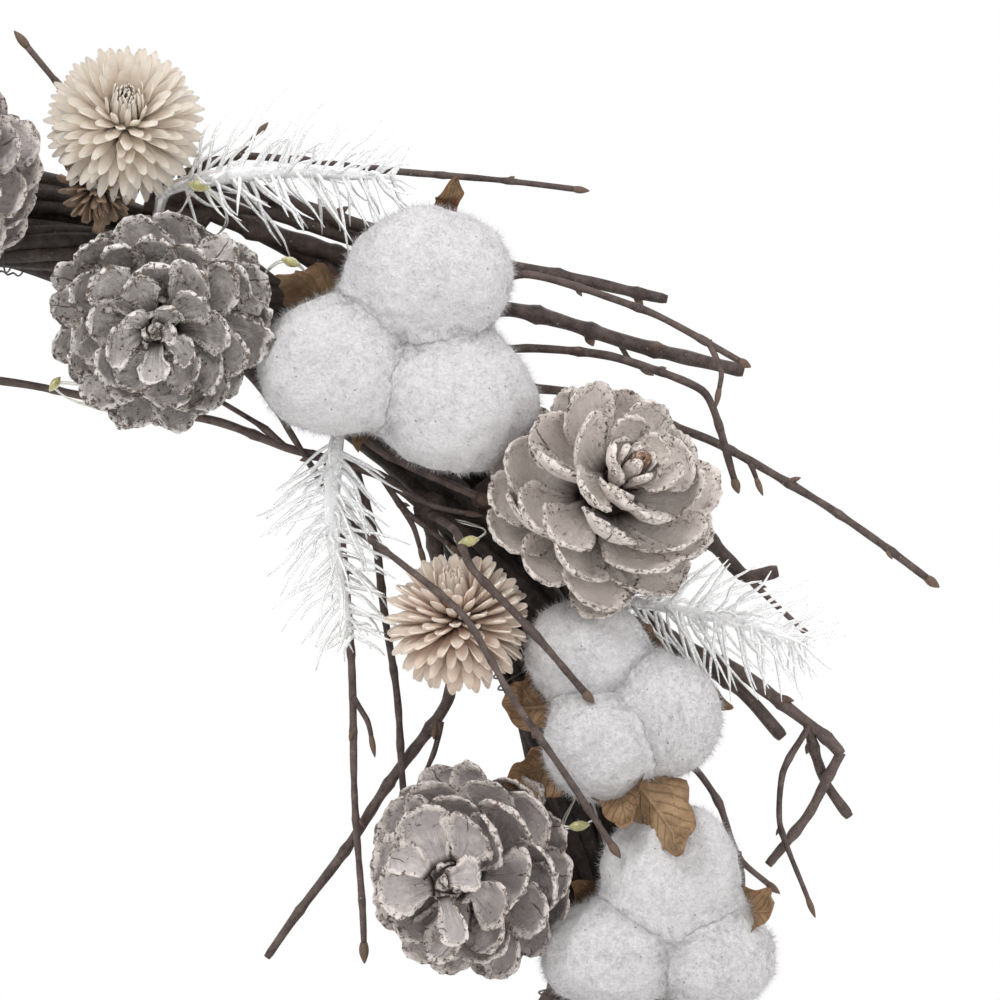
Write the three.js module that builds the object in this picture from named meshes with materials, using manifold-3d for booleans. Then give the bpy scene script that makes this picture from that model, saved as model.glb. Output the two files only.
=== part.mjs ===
// A round winter wreath that hangs on a wall: a ring of bound vines carries open pine cones,
// cotton bolls with their dry bracts, dried flower heads, translucent needle sprigs and sprays
// of bare twigs, with a battery-lit wire of small lamps wound along the ring.
//
// Everything is laid out as if the wreath lay face up: x to the right, y up, and z the depth
// off the wall, all from the middle of the ring. The last lines hang it upright.

import * as THREE from 'three';
import { mergeVertices } from 'three/addons/utils/BufferGeometryUtils.js';
import Module from 'manifold-3d';

const wasm = await Module();
wasm.setup();

// Driving dimensions, in millimetres and degrees.
const RING_RADIUS = 168;
const RING_DEPTH = 18.5;
const VINE_RADIUS = 7;
const VINE_OFFSET = 8.3;
const VINE_TWISTS = 3;
const VINE_STATIONS = 28;
const RING_REACH = 15.5;
const CLEARANCE = 0.35;
const SEAT_REACH = 5.2;

const CONE_RADIUS = 27;
const CONE_LEVELS = [15, 39, 63, 88, 113];
const FLOWER_RADIUS = 19;
const FLOWER_STEPS_AROUND = 8;
const FLOWER_LEVELS = [14, 36, 58, 81, 104, 128];
const NEEDLE_LENGTH = 18;
const SPRIG_STEPS = 11;
const BOLL_RELIEF = 0.03;
const HUB_RADIUS = 7;
const SHELL_SLACK = 1.035;

const WIRE_RADIUS = 0.6;
const WIRE_SEAT = 8.3;
const LAMP_RADIUS = 2.1;
const LAMP_SEAT = 10.4;
const LAMPS = 20;

const BOX_LENGTH = 70;
const BOX_WIDTH = 34;
const BOX_DEPTH = 19;
const BOX_LOWER_EDGE = -148.3;
const BOX_WALL = 1.6;
const CELL_RADIUS = 7.1;
const CELL_LENGTH = 50;
const SWITCH_TRAVEL = 3;
const HANGER_WIRE = 1;
const HANGER_COLLAR = 17.1;
const HANGER_LOOP = 6;

const COLOURS = {
  vine: [0x3a2d26, 0.85],
  twig: [0x44352e, 0.8],
  cone: [0xb9b4b1, 0.9],
  cotton: [0xf2f2f4, 1],
  flower: [0xcdb9a6, 0.85],
  sprig: [0xeef1f3, 0.35],
  wire: [0xd9d6c4, 0.3],
  steel: [0x8c8c8c, 0.4],
  case: [0x2b2320, 0.5],
  cell: [0x9aa0a4, 0.35],
};

const radians = THREE.MathUtils.degToRad;
const vector = (point) => new THREE.Vector3(...point);

// A seeded draw, the same on every run.
function draws(seed) {
  let state = seed >>> 0;
  return (low, high) => {
    state = (Math.imul(state, 1664525) + 1013904223) >>> 0;
    return low + ((high - low) * state) / 4294967296;
  };
}

// A place in the wreath by its clock angle, its distance from the middle and its depth.
function polar(angle, radius, depth) {
  return [radius * Math.cos(radians(angle)), radius * Math.sin(radians(angle)), depth];
}

// Solids: from a geometry to a closed body and back.
function bodyOf(geometry) {
  const bare = geometry.clone();
  bare.deleteAttribute('normal');
  bare.deleteAttribute('uv');
  const merged = mergeVertices(bare, 1e-4);
  return new wasm.Manifold(new wasm.Mesh({
    numProp: 3,
    vertProperties: new Float32Array(merged.attributes.position.array),
    triVerts: new Uint32Array(merged.index.array),
  }));
}

function fuse(bodies) {
  return bodies.reduce((whole, body) => whole.add(body));
}

// The largest single body of a cut piece. Loose scraps are dropped.
function largest(body) {
  const pieces = body.decompose();
  return pieces.reduce((best, piece) => (piece.volume() > best.volume() ? piece : best));
}

function meshOf(name, body, [colour, roughness], metalness = 0) {
  const data = body.getMesh();
  const geometry = new THREE.BufferGeometry();
  geometry.setAttribute('position', new THREE.BufferAttribute(data.vertProperties, 3));
  geometry.setIndex(new THREE.BufferAttribute(data.triVerts, 1));
  geometry.computeVertexNormals();
  const material = new THREE.MeshStandardMaterial({ color: colour, roughness, metalness });
  const mesh = new THREE.Mesh(geometry, material);
  mesh.name = name;
  return mesh;
}

// Points and triangles gathered by hand, for pieces grown facet by facet.
class Facets {
  constructor() {
    this.points = [];
    this.faces = [];
  }

  point(place) {
    this.points.push(place.x, place.y, place.z);
    return this.points.length / 3 - 1;
  }

  at(index) {
    return new THREE.Vector3().fromArray(this.points, 3 * index);
  }

  face(a, b, c) {
    this.faces.push(a, b, c);
  }

  // A pointed blade raised on one triangle.
  spike(a, b, c, tip) {
    const top = this.point(tip);
    this.face(a, b, top);
    this.face(b, c, top);
    this.face(c, a, top);
  }

  body() {
    const geometry = new THREE.BufferGeometry();
    geometry.setAttribute('position', new THREE.Float32BufferAttribute(this.points, 3));
    geometry.setIndex(this.faces);
    return bodyOf(geometry);
  }
}

// A core whose skin is laid out in diamonds, in staggered rows as scales and petals grow.
// The rows run from the first pole to the last, and grow() dresses each diamond.
function diamondBody(rows, firstPole, lastPole, grow) {
  const facets = new Facets();
  const first = facets.point(firstPole);
  const last = facets.point(lastPole);
  const count = rows[0].length;
  const index = rows.map((row) => row.map((place) => facets.point(place)));
  rows.forEach((row, level) => {
    for (let i = 0; i < count; i += 1) {
      const next = (i + 1) % count;
      const between = level % 2 ? next : i;
      const diamond = {
        left: index[level][i],
        right: index[level][next],
        top: level === 0 ? first : index[level - 1][between],
        bottom: level === rows.length - 1 ? last : index[level + 1][between],
      };
      grow(facets, diamond, level, i);
    }
  });
  return facets.body();
}

function plainDiamond(facets, { left, right, top, bottom }) {
  facets.face(left, bottom, right);
  facets.face(left, right, top);
}

// A frame whose z axis looks along the facing, turned about it.
function facingFrame(centre, facing, turn) {
  const direction = vector(facing).normalize();
  const look = new THREE.Quaternion().setFromUnitVectors(new THREE.Vector3(0, 0, 1), direction);
  const spin = new THREE.Quaternion().setFromAxisAngle(direction, radians(turn));
  return new THREE.Matrix4().compose(vector(centre), spin.multiply(look), new THREE.Vector3(1, 1, 1));
}

// A point on an egg-shaped body: polar angle from its nose, azimuth around it, in degrees.
function eggPoint(polarAngle, azimuth, radius, height) {
  const across = radius * Math.sin(radians(polarAngle));
  return new THREE.Vector3(
    across * Math.cos(radians(azimuth)),
    across * Math.sin(radians(azimuth)),
    height * Math.cos(radians(polarAngle)),
  );
}

function eggRows(levels, around, radius, height, frame) {
  return levels.map((angle, level) => Array.from({ length: around }, (_, i) => (
    eggPoint(angle, ((i + 0.5 * (level % 2)) * 360) / around, radius, height).applyMatrix4(frame)
  )));
}

function eggShell(centre, facing, radius, height) {
  const shell = new THREE.IcosahedronGeometry(SHELL_SLACK, 2);
  shell.scale(radius, radius, height);
  shell.applyMatrix4(facingFrame(centre, facing, 0));
  return bodyOf(shell);
}

// How far round the ring's section each vine lies at an angle of the ring, in radians.
function vineTwist(index, angle) {
  return VINE_TWISTS * angle + (index * 2 * Math.PI) / 3;
}

// Where a stalk from the given place ends, sunk a little into the vine nearest to it.
function seatOnRing([x, y, z]) {
  const angle = Math.atan2(y, x);
  const place = new THREE.Vector2(Math.hypot(x, y) - RING_RADIUS, z - RING_DEPTH);
  const axes = [0, 1, 2].map((index) => {
    const twist = vineTwist(index, angle);
    return new THREE.Vector2(Math.cos(twist), Math.sin(twist)).multiplyScalar(VINE_OFFSET);
  });
  axes.sort((a, b) => a.distanceTo(place) - b.distanceTo(place));
  const nearest = axes[0];
  const seat = place.sub(nearest).setLength(SEAT_REACH).add(nearest);
  const radius = RING_RADIUS + seat.x;
  return new THREE.Vector3(radius * Math.cos(angle), radius * Math.sin(angle), RING_DEPTH + seat.y);
}

// Pushes a point out of the ring's round envelope, so that a twig runs along the vines.
function clearOfRing(place, margin) {
  const angle = Math.atan2(place.y, place.x);
  const out = Math.hypot(place.x, place.y) - RING_RADIUS;
  const lift = place.z - RING_DEPTH;
  const reach = Math.hypot(out, lift);
  const least = RING_REACH + margin;
  if (reach >= least) return place;
  const grow = least / reach;
  const radius = RING_RADIUS + out * grow;
  return new THREE.Vector3(radius * Math.cos(angle), radius * Math.sin(angle), RING_DEPTH + lift * grow);
}

// The ring: three vines twisted round each other, each with the ridges of its bundled twigs.
function vine(index, swell) {
  const sides = 8;
  const geometry = new THREE.TorusGeometry(RING_RADIUS, VINE_RADIUS, sides, VINE_STATIONS);
  const position = geometry.attributes.position;
  for (let j = 0; j <= sides; j += 1) {
    for (let i = 0; i <= VINE_STATIONS; i += 1) {
      const around = ((i % VINE_STATIONS) * 2 * Math.PI) / VINE_STATIONS;
      const twist = vineTwist(index, around);
      const section = ((j % sides) * 2 * Math.PI) / sides + twist;
      const bark = swell + VINE_RADIUS * (j % 2 ? 0.88 : 1);
      const radius = RING_RADIUS + VINE_OFFSET * Math.cos(twist) + bark * Math.cos(section);
      position.setXYZ(
        j * (VINE_STATIONS + 1) + i,
        radius * Math.cos(around),
        radius * Math.sin(around),
        RING_DEPTH + VINE_OFFSET * Math.sin(twist) + bark * Math.sin(section),
      );
    }
  }
  return bodyOf(geometry);
}

// The hanger: a wire collar round the ring at the top, with an eye that hooks on a nail.
const EYE_CENTRE = [0, RING_RADIUS + HANGER_COLLAR * Math.cos(radians(75)) + HANGER_LOOP + 0.4, 2.1];
const HANG_HEIGHT = EYE_CENTRE[1] + HANGER_LOOP - HANGER_WIRE;

function hanger(swell) {
  const collar = new THREE.TorusGeometry(HANGER_COLLAR, HANGER_WIRE + swell, 4, 16);
  collar.rotateY(Math.PI / 2);
  collar.translate(0, RING_RADIUS, RING_DEPTH);
  const eye = new THREE.TorusGeometry(HANGER_LOOP, HANGER_WIRE + swell, 5, 10);
  eye.translate(...EYE_CENTRE);
  return bodyOf(collar).add(bodyOf(eye));
}

// A box between two corners.
function block(low, high) {
  const size = high.map((value, axis) => value - low[axis]);
  const geometry = new THREE.BoxGeometry(...size);
  geometry.translate(...low.map((value, axis) => value + size[axis] / 2));
  return bodyOf(geometry);
}

// The battery case, fixed on the ring's inner side at the bottom, open at its back.
const CASE = {
  left: -BOX_LENGTH / 2,
  right: BOX_LENGTH / 2,
  bottom: BOX_LOWER_EDGE,
  top: BOX_LOWER_EDGE + BOX_WIDTH,
  back: 1.9,
  front: BOX_DEPTH,
};
const PARTITION = { left: 24.3, right: 25.5 };
const SLOT = { left: 26, right: 33, low: 7.5, high: 11.7 };
const WIRE_EXIT = [CASE.right, -131, 10];

function batteryCase() {
  const { left, right, bottom, top, back, front } = CASE;
  const w = BOX_WALL;
  const shell = block([left, bottom, back], [right, top, front]);
  const cells = block([left + w, bottom + w, back - 1], [PARTITION.left, top - w, front - w]);
  const control = block([PARTITION.right, bottom + w, back - 1], [right - w, top - w, front - w]);
  const slot = block([SLOT.left, top - 2 * w, SLOT.low], [SLOT.right, top + w, SLOT.high]);
  const hole = new THREE.CylinderGeometry(1.2, 1.2, 4 * w, 8);
  hole.rotateZ(Math.PI / 2);
  hole.translate(...WIRE_EXIT);
  const feet = [-22, 22].map((x) => block([x - 5, bottom - 12, 4], [x + 5, bottom + 1, 15]));
  const pass = block([PARTITION.left - 1, top - 8, 4], [PARTITION.right + 1, top - 6, 6]);
  return [cells, control, slot, bodyOf(hole), pass].reduce(
    (whole, part) => whole.subtract(part),
    fuse([shell, ...feet]),
  );
}

function batteryLid() {
  const { left, right, bottom, top, back } = CASE;
  const w = BOX_WALL + 0.3;
  const plate = block([left, bottom, 0], [right, top, back - 0.3]);
  const rim = block([left + w, bottom + w, 1], [PARTITION.left - 0.3, top - w, back + 0.9]);
  const inside = block([left + 2 * w, bottom + 2 * w, back - 0.3], [PARTITION.left - w, top - 2 * w, 5]);
  return plate.add(rim.subtract(inside));
}

function batteryCell(row) {
  const middle = (CASE.bottom + CASE.top) / 2 + row * (CELL_RADIUS + 0.2);
  const depth = CASE.front - BOX_WALL - CELL_RADIUS - 0.3;
  const start = row > 0 ? -CELL_LENGTH / 2 : CELL_LENGTH / 2;
  const profile = [[0, 0], [7.1, 0], [7.1, 48.6], [2.7, 48.6], [2.7, CELL_LENGTH], [0, CELL_LENGTH]];
  const cell = new THREE.LatheGeometry(profile.map(([r, y]) => new THREE.Vector2(r, y)), 10);
  cell.rotateZ(row > 0 ? -Math.PI / 2 : Math.PI / 2);
  cell.translate(start - 4.5, middle, depth);
  return bodyOf(cell);
}

// The slide switch: a ribbed thumb piece on a stem through the slot, held by an inner plate.
function switchKnob() {
  const left = SLOT.left + 0.3;
  const right = SLOT.right - 0.3 - SWITCH_TRAVEL;
  const { top } = CASE;
  const inner = top - BOX_WALL;
  const stem = block([left, inner - 0.5, SLOT.low + 0.3], [right, top + 1.4, SLOT.high - 0.3]);
  const plate = block([left, inner - 1.5, SLOT.low - 1.3], [right, inner - 0.4, SLOT.high + 1.3]);
  const ribs = [0.2, 1.35, 2.5].map((x) => (
    block([left + x, top + 1, SLOT.low + 0.3], [left + x + 0.7, top + 2, SLOT.high - 0.3])
  ));
  return fuse([stem, plate, ...ribs]);
}

// The lamp wire leaves the case, dives into a groove between two vines and follows it round.
const STRING_START = 284.5;
const STRING_END = 284.5 + 331;
const LEAD_IN = 14;

function groovePoint(angle, lift) {
  const facing = VINE_TWISTS * radians(angle) + Math.PI / 3;
  const radius = RING_RADIUS + lift * Math.cos(facing);
  return new THREE.Vector3(
    radius * Math.cos(radians(angle)),
    radius * Math.sin(radians(angle)),
    RING_DEPTH + lift * Math.sin(facing),
  );
}

// The stations of the string: wire between the lamps, and a bead round it at each lamp.
function stringStations() {
  const lead = [0, 3, 6, 10].map((turn) => {
    const lift = WIRE_SEAT + 26 * (1 - turn / LEAD_IN) ** 2;
    return { place: groovePoint(STRING_START + turn, lift), radius: WIRE_RADIUS };
  });
  const spacing = (STRING_END - STRING_START - LEAD_IN) / LAMPS;
  const lamps = Array.from({ length: LAMPS }, (_, i) => {
    const angle = STRING_START + LEAD_IN + (i + 0.9) * spacing;
    return [
      { place: groovePoint(angle - 1, 0.5 * (WIRE_SEAT + LAMP_SEAT)), radius: WIRE_RADIUS },
      { place: groovePoint(angle, LAMP_SEAT), radius: LAMP_RADIUS },
      { place: groovePoint(angle + 1, 0.5 * (WIRE_SEAT + LAMP_SEAT)), radius: WIRE_RADIUS },
    ];
  });
  return [...lead, ...lamps.flat()];
}

// A round-sided rod through a row of places, each with its own radius, blunt or pointed.
function sweep(stations, sides, pointed) {
  const steps = stations.length - 1;
  const tangents = stations.map((_, i) => {
    const before = stations[Math.max(i - 1, 0)].place;
    const after = stations[Math.min(i + 1, steps)].place;
    return after.clone().sub(before).normalize();
  });
  const upright = Math.abs(tangents[0].z) > 0.9 ? new THREE.Vector3(1, 0, 0) : new THREE.Vector3(0, 0, 1);
  let lift = upright;
  const frames = tangents.map((tangent) => {
    lift = lift.clone().addScaledVector(tangent, -lift.dot(tangent)).normalize();
    return { side: tangent.clone().cross(lift), lift };
  });
  const rod = new THREE.CylinderGeometry(pointed ? 0 : 1, 1, 1, sides, steps);
  const position = rod.attributes.position;
  for (let i = 0; i < position.count; i += 1) {
    const step = Math.round((position.getY(i) + 0.5) * steps);
    const x = position.getX(i);
    const z = position.getZ(i);
    const size = Math.hypot(x, z) > 1e-6 ? stations[step].radius / Math.hypot(x, z) : 0;
    const place = stations[step].place.clone();
    place.addScaledVector(frames[step].side, x * size);
    place.addScaledVector(frames[step].lift, z * size);
    position.setXYZ(i, place.x, place.y, place.z);
  }
  return bodyOf(rod);
}

function lampString(swell) {
  const stations = stringStations().map(({ place, radius }) => ({ place, radius: radius + swell }));
  return sweep(stations, 3, false);
}

// A twig: a slim tapered rod bent along a curve, thicker at its nodes, and cut off blunt
// if it is stout or ending in a bud if it is slim.
function twig(points, thick, thin, swell = 0) {
  const stout = thick > 1.8;
  const steps = Math.max(3, points.length - 1);
  const curve = new THREE.CatmullRomCurve3(points.map(vector));
  const stations = Array.from({ length: steps + 1 }, (_, step) => {
    const along = step / steps;
    const node = step % 2 && step < steps ? 1.15 : 1;
    const radius = (thick + (thin - thick) * along) * node;
    const margin = step < 1 ? -3 : radius + CLEARANCE;
    return { place: clearOfRing(curve.getPointAt(along), margin), radius: radius + 1.3 * swell };
  });
  const last = stations[steps].place;
  last.add(last.clone().sub(stations[steps - 1].place).setLength(stout ? swell : 2 * swell + 1e-3));
  return sweep(stations, 4, !stout);
}

// A dry bract: a kite-shaped blade, ridged along its middle, rooted in the spray's hub.
function bract(root, tip, width, swell = 0) {
  const start = vector(root);
  const reach = vector(tip).sub(start);
  const length = reach.length();
  const forward = reach.clone().normalize();
  const side = new THREE.Vector3(0, 0, 1).cross(forward).normalize();
  const lift = forward.clone().cross(side);
  const half = width / 2 + 3 * swell;
  const along = (share, across, up) => start.clone()
    .addScaledVector(forward, share * length)
    .addScaledVector(side, across)
    .addScaledVector(lift, up);
  const facets = new Facets();
  const back = facets.point(along((-3 * swell) / length, 0, 0));
  const left = facets.point(along(0.62, half, 1.6));
  const right = facets.point(along(0.62, -half, 1.6));
  const end = facets.point(along(1 + (4 * swell) / length, 0, 1));
  const upper = facets.point(along(0.6, 0, 1 + 1.5 * swell));
  const under = facets.point(along(0.6, 0, -0.8 - 1.5 * swell));
  [[back, right], [right, end], [end, left], [left, back]].forEach(([a, b]) => {
    facets.face(a, b, upper);
    facets.face(b, a, under);
  });
  return facets.body();
}

function hubBlob(centre, radius) {
  const blob = new THREE.OctahedronGeometry(radius);
  blob.translate(...centre);
  return bodyOf(blob);
}

// A spray: the hub tied to the ring, its twigs and stems, side shoots and bracts, as one body.
// A twig starts at the hub, or at a place of its own where it crosses one that does.
function spray({ hub, twigs, bracts = [] }, swell = 0) {
  const rods = twigs.map(({ path, size, root = hub }) => twig([root, ...path], ...size, swell));
  const shoots = twigs.flatMap(({ side = [] }) => side.map((path) => twig(path, 0.9, 0.6, swell)));
  const leaves = bracts.map(({ root = hub, tip, width }) => bract(root, tip, width, swell));
  return fuse([hubBlob(hub, HUB_RADIUS + swell), ...rods, ...shoots, ...leaves]);
}

// An open pine cone: staggered rows of thick-ended scales round a core, on a short stalk.
function pineCone({ at, facing, radius = CONE_RADIUS, turn = 0, around = 7, levels = CONE_LEVELS }) {
  const height = 0.86 * radius;
  const frame = facingFrame(at, facing, turn);
  const rows = eggRows(levels, around, 0.5 * radius, 0.62 * height, frame);
  const nose = new THREE.Vector3(0, 0, 0.68 * height).applyMatrix4(frame);
  const step = 360 / around;
  return diamondBody(rows, nose, seatOnRing(at), (facets, diamond, level, i) => {
    const angle = levels[level];
    const azimuth = (i + 0.5 + 0.5 * (level % 2)) * step;
    const edge = (polarAngle, turnBy, share) => facets.point(
      eggPoint(polarAngle, azimuth + turnBy, share * radius, share * height).applyMatrix4(frame),
    );
    const outer = {
      left: edge(angle - 2, -0.36 * step, 0.9),
      right: edge(angle - 2, 0.36 * step, 0.9),
      top: edge(angle - 4, 0, 1),
      bottom: edge(angle + 3, 0, 0.95),
    };
    const loop = ['left', 'bottom', 'right', 'top'];
    loop.forEach((corner, k) => {
      const after = loop[(k + 1) % 4];
      facets.face(diamond[corner], diamond[after], outer[after]);
      facets.face(diamond[corner], outer[after], outer[corner]);
    });
    plainDiamond(facets, outer);
  });
}

function coneShell({ at, facing, radius = CONE_RADIUS }) {
  return eggShell(at, facing, radius + CLEARANCE, 0.86 * radius + CLEARANCE);
}

// A dried flower head: a dome of blunt petals in close layers, on a stalk.
function flowerHead({ at, facing, radius = FLOWER_RADIUS, turn = 0 }) {
  const frame = facingFrame(at, facing, turn);
  const height = 0.9 * radius;
  const rows = eggRows(FLOWER_LEVELS, FLOWER_STEPS_AROUND, 0.56 * radius, 0.5 * height, frame);
  const nose = new THREE.Vector3(0, 0, 0.52 * height).applyMatrix4(frame);
  const centre = vector(at);
  const petal = (facets, a, b, c, share) => {
    const out = facets.at(a).add(facets.at(b)).add(facets.at(c)).divideScalar(3).sub(centre);
    out.setLength(share * radius);
    facets.spike(a, b, c, centre.clone().add(out));
  };
  return diamondBody(rows, nose, seatOnRing(at), (facets, diamond, level) => {
    const { left, right, top, bottom } = diamond;
    petal(facets, left, right, top, level === 0 ? 0.8 : 0.97);
    if (level < rows.length - 1) petal(facets, left, bottom, right, 1);
    else facets.face(left, bottom, right);
  });
}

function flowerShell({ at, facing, radius = FLOWER_RADIUS }) {
  return eggShell(at, facing, radius + CLEARANCE, radius + CLEARANCE);
}

// How far a ray from the boll's middle runs before it leaves a lobe.
function leaveLobe(middle, direction, [place, size]) {
  const scaled = (point) => new THREE.Vector3(point.x / size[0], point.y / size[1], point.z / size[2]);
  const from = scaled(middle.clone().sub(vector(place)));
  const along = scaled(direction);
  const a = along.dot(along);
  const b = from.dot(along);
  const inside = b * b - a * (from.dot(from) - 1);
  return inside > 0 ? (Math.sqrt(inside) - b) / a : 0;
}

// A cotton boll: one skin drawn over three packed lobes of lint, slightly lumpy.
function cottonBoll({ lobes, seed }, swell = 0) {
  const draw = draws(seed);
  const middle = new THREE.Vector3();
  lobes.forEach(([place]) => middle.add(vector(place).divideScalar(lobes.length)));
  const ball = new THREE.IcosahedronGeometry(1, 2);
  ball.deleteAttribute('normal');
  ball.deleteAttribute('uv');
  const skin = mergeVertices(ball, 1e-4);
  const position = skin.attributes.position;
  for (let i = 0; i < position.count; i += 1) {
    const direction = new THREE.Vector3().fromBufferAttribute(position, i);
    const reach = Math.max(...lobes.map((lobe) => leaveLobe(middle, direction, lobe)));
    const grow = 1 + draw(-BOLL_RELIEF, BOLL_RELIEF);
    direction.multiplyScalar(reach * grow + swell).add(middle);
    position.setXYZ(i, direction.x, direction.y, direction.z);
  }
  return bodyOf(skin);
}

// A needle sprig: a slim stem whose every facet past its foot carries a long needle.
function needleSprig({ path }) {
  const curve = new THREE.CatmullRomCurve3(path.map(vector));
  const frames = curve.computeFrenetFrames(SPRIG_STEPS, false);
  const count = 3;
  const bareSteps = 3;
  const rows = [];
  for (let step = SPRIG_STEPS - 1; step >= 1; step -= 1) {
    const centre = curve.getPointAt(step / SPRIG_STEPS);
    const side = frames.normals[step];
    const lift = frames.tangents[step].clone().cross(side);
    const stagger = 0.5 * (rows.length % 2);
    rows.push(Array.from({ length: count }, (_, i) => {
      const angle = ((i + stagger) * 2 * Math.PI) / count;
      const place = centre.clone();
      place.addScaledVector(side, 1.3 * Math.cos(angle));
      return place.addScaledVector(lift, 1.3 * Math.sin(angle));
    }));
  }
  const needle = (facets, a, b, c, step) => {
    const middle = facets.at(a).add(facets.at(b)).add(facets.at(c)).divideScalar(3);
    const along = frames.tangents[step];
    const out = middle.clone().sub(curve.getPointAt(step / SPRIG_STEPS));
    out.addScaledVector(along, -out.dot(along)).normalize();
    out.z *= 0.6;
    const tip = middle.clone().addScaledVector(out.normalize(), 0.72 * NEEDLE_LENGTH);
    facets.spike(a, b, c, tip.addScaledVector(along, 0.68 * NEEDLE_LENGTH));
  };
  return diamondBody(rows, curve.getPointAt(1), curve.getPointAt(0), (facets, diamond, level) => {
    const step = SPRIG_STEPS - 1 - level;
    const { left, right, top, bottom } = diamond;
    if (step < bareSteps) {
      plainDiamond(facets, diamond);
      return;
    }
    needle(facets, left, right, top, step);
    needle(facets, left, bottom, right, step);
  });
}

// The layout of the quarter that was surveyed closely, from the middle of the ring.
const CONES_SEEN = [
  { at: [9.5, 177.6, 50], facing: [0.1, 0.2, 0.97], radius: 26, turn: 20 },
  { at: [62.2, 143.3, 54], facing: [-0.1, -0.2, 0.97], turn: 8, around: 8 },
  { at: [167.8, 99.6, 50], facing: [0.38, 0.38, 0.85], radius: 29, turn: 30, around: 8 },
  { at: [137.3, 10.8, 46], facing: [-0.32, 0.08, 0.94], turn: 15, around: 8 },
];

const FLOWERS_SEEN = [
  { at: [53.8, 188.5, 46], facing: [0.1, 0.35, 0.9], radius: 20 },
  { at: [132.2, 70.3, 48], facing: [-0.15, 0.5, 0.8], radius: 18, turn: 5 },
];

const BOLLS_SEEN = [
  [
    [[127, 153.1, 52], [20, 16.5, 16]],
    [[103.7, 131.5, 51], [18, 17, 16]],
    [[133, 123.6, 50], [19, 17.5, 16]],
  ],
  [
    [[164.9, 63, 46], [15, 13, 12]],
    [[184.1, 48, 49], [12.5, 14, 13]],
    [[167, 40.8, 51], [13.5, 13.5, 13]],
  ],
  [
    [[185, 8.9, 47], [17, 17, 15]],
    [[169.7, -9.6, 48], [16, 13, 14]],
    [[195.4, -9.6, 46], [14, 13, 13]],
  ],
];

const SPRIGS_SEEN = [
  [[67, 166, 31], [68.5, 173, 42], [92, 178.5, 47], [121, 176.9, 46]],
  [[107, 119, 31], [104.6, 114, 42], [103.5, 92, 44], [108.2, 66, 42]],
  [[164, 69.5, 30], [177.4, 75.1, 36], [202, 70, 39], [225.8, 61.2, 37]],
];

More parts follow.
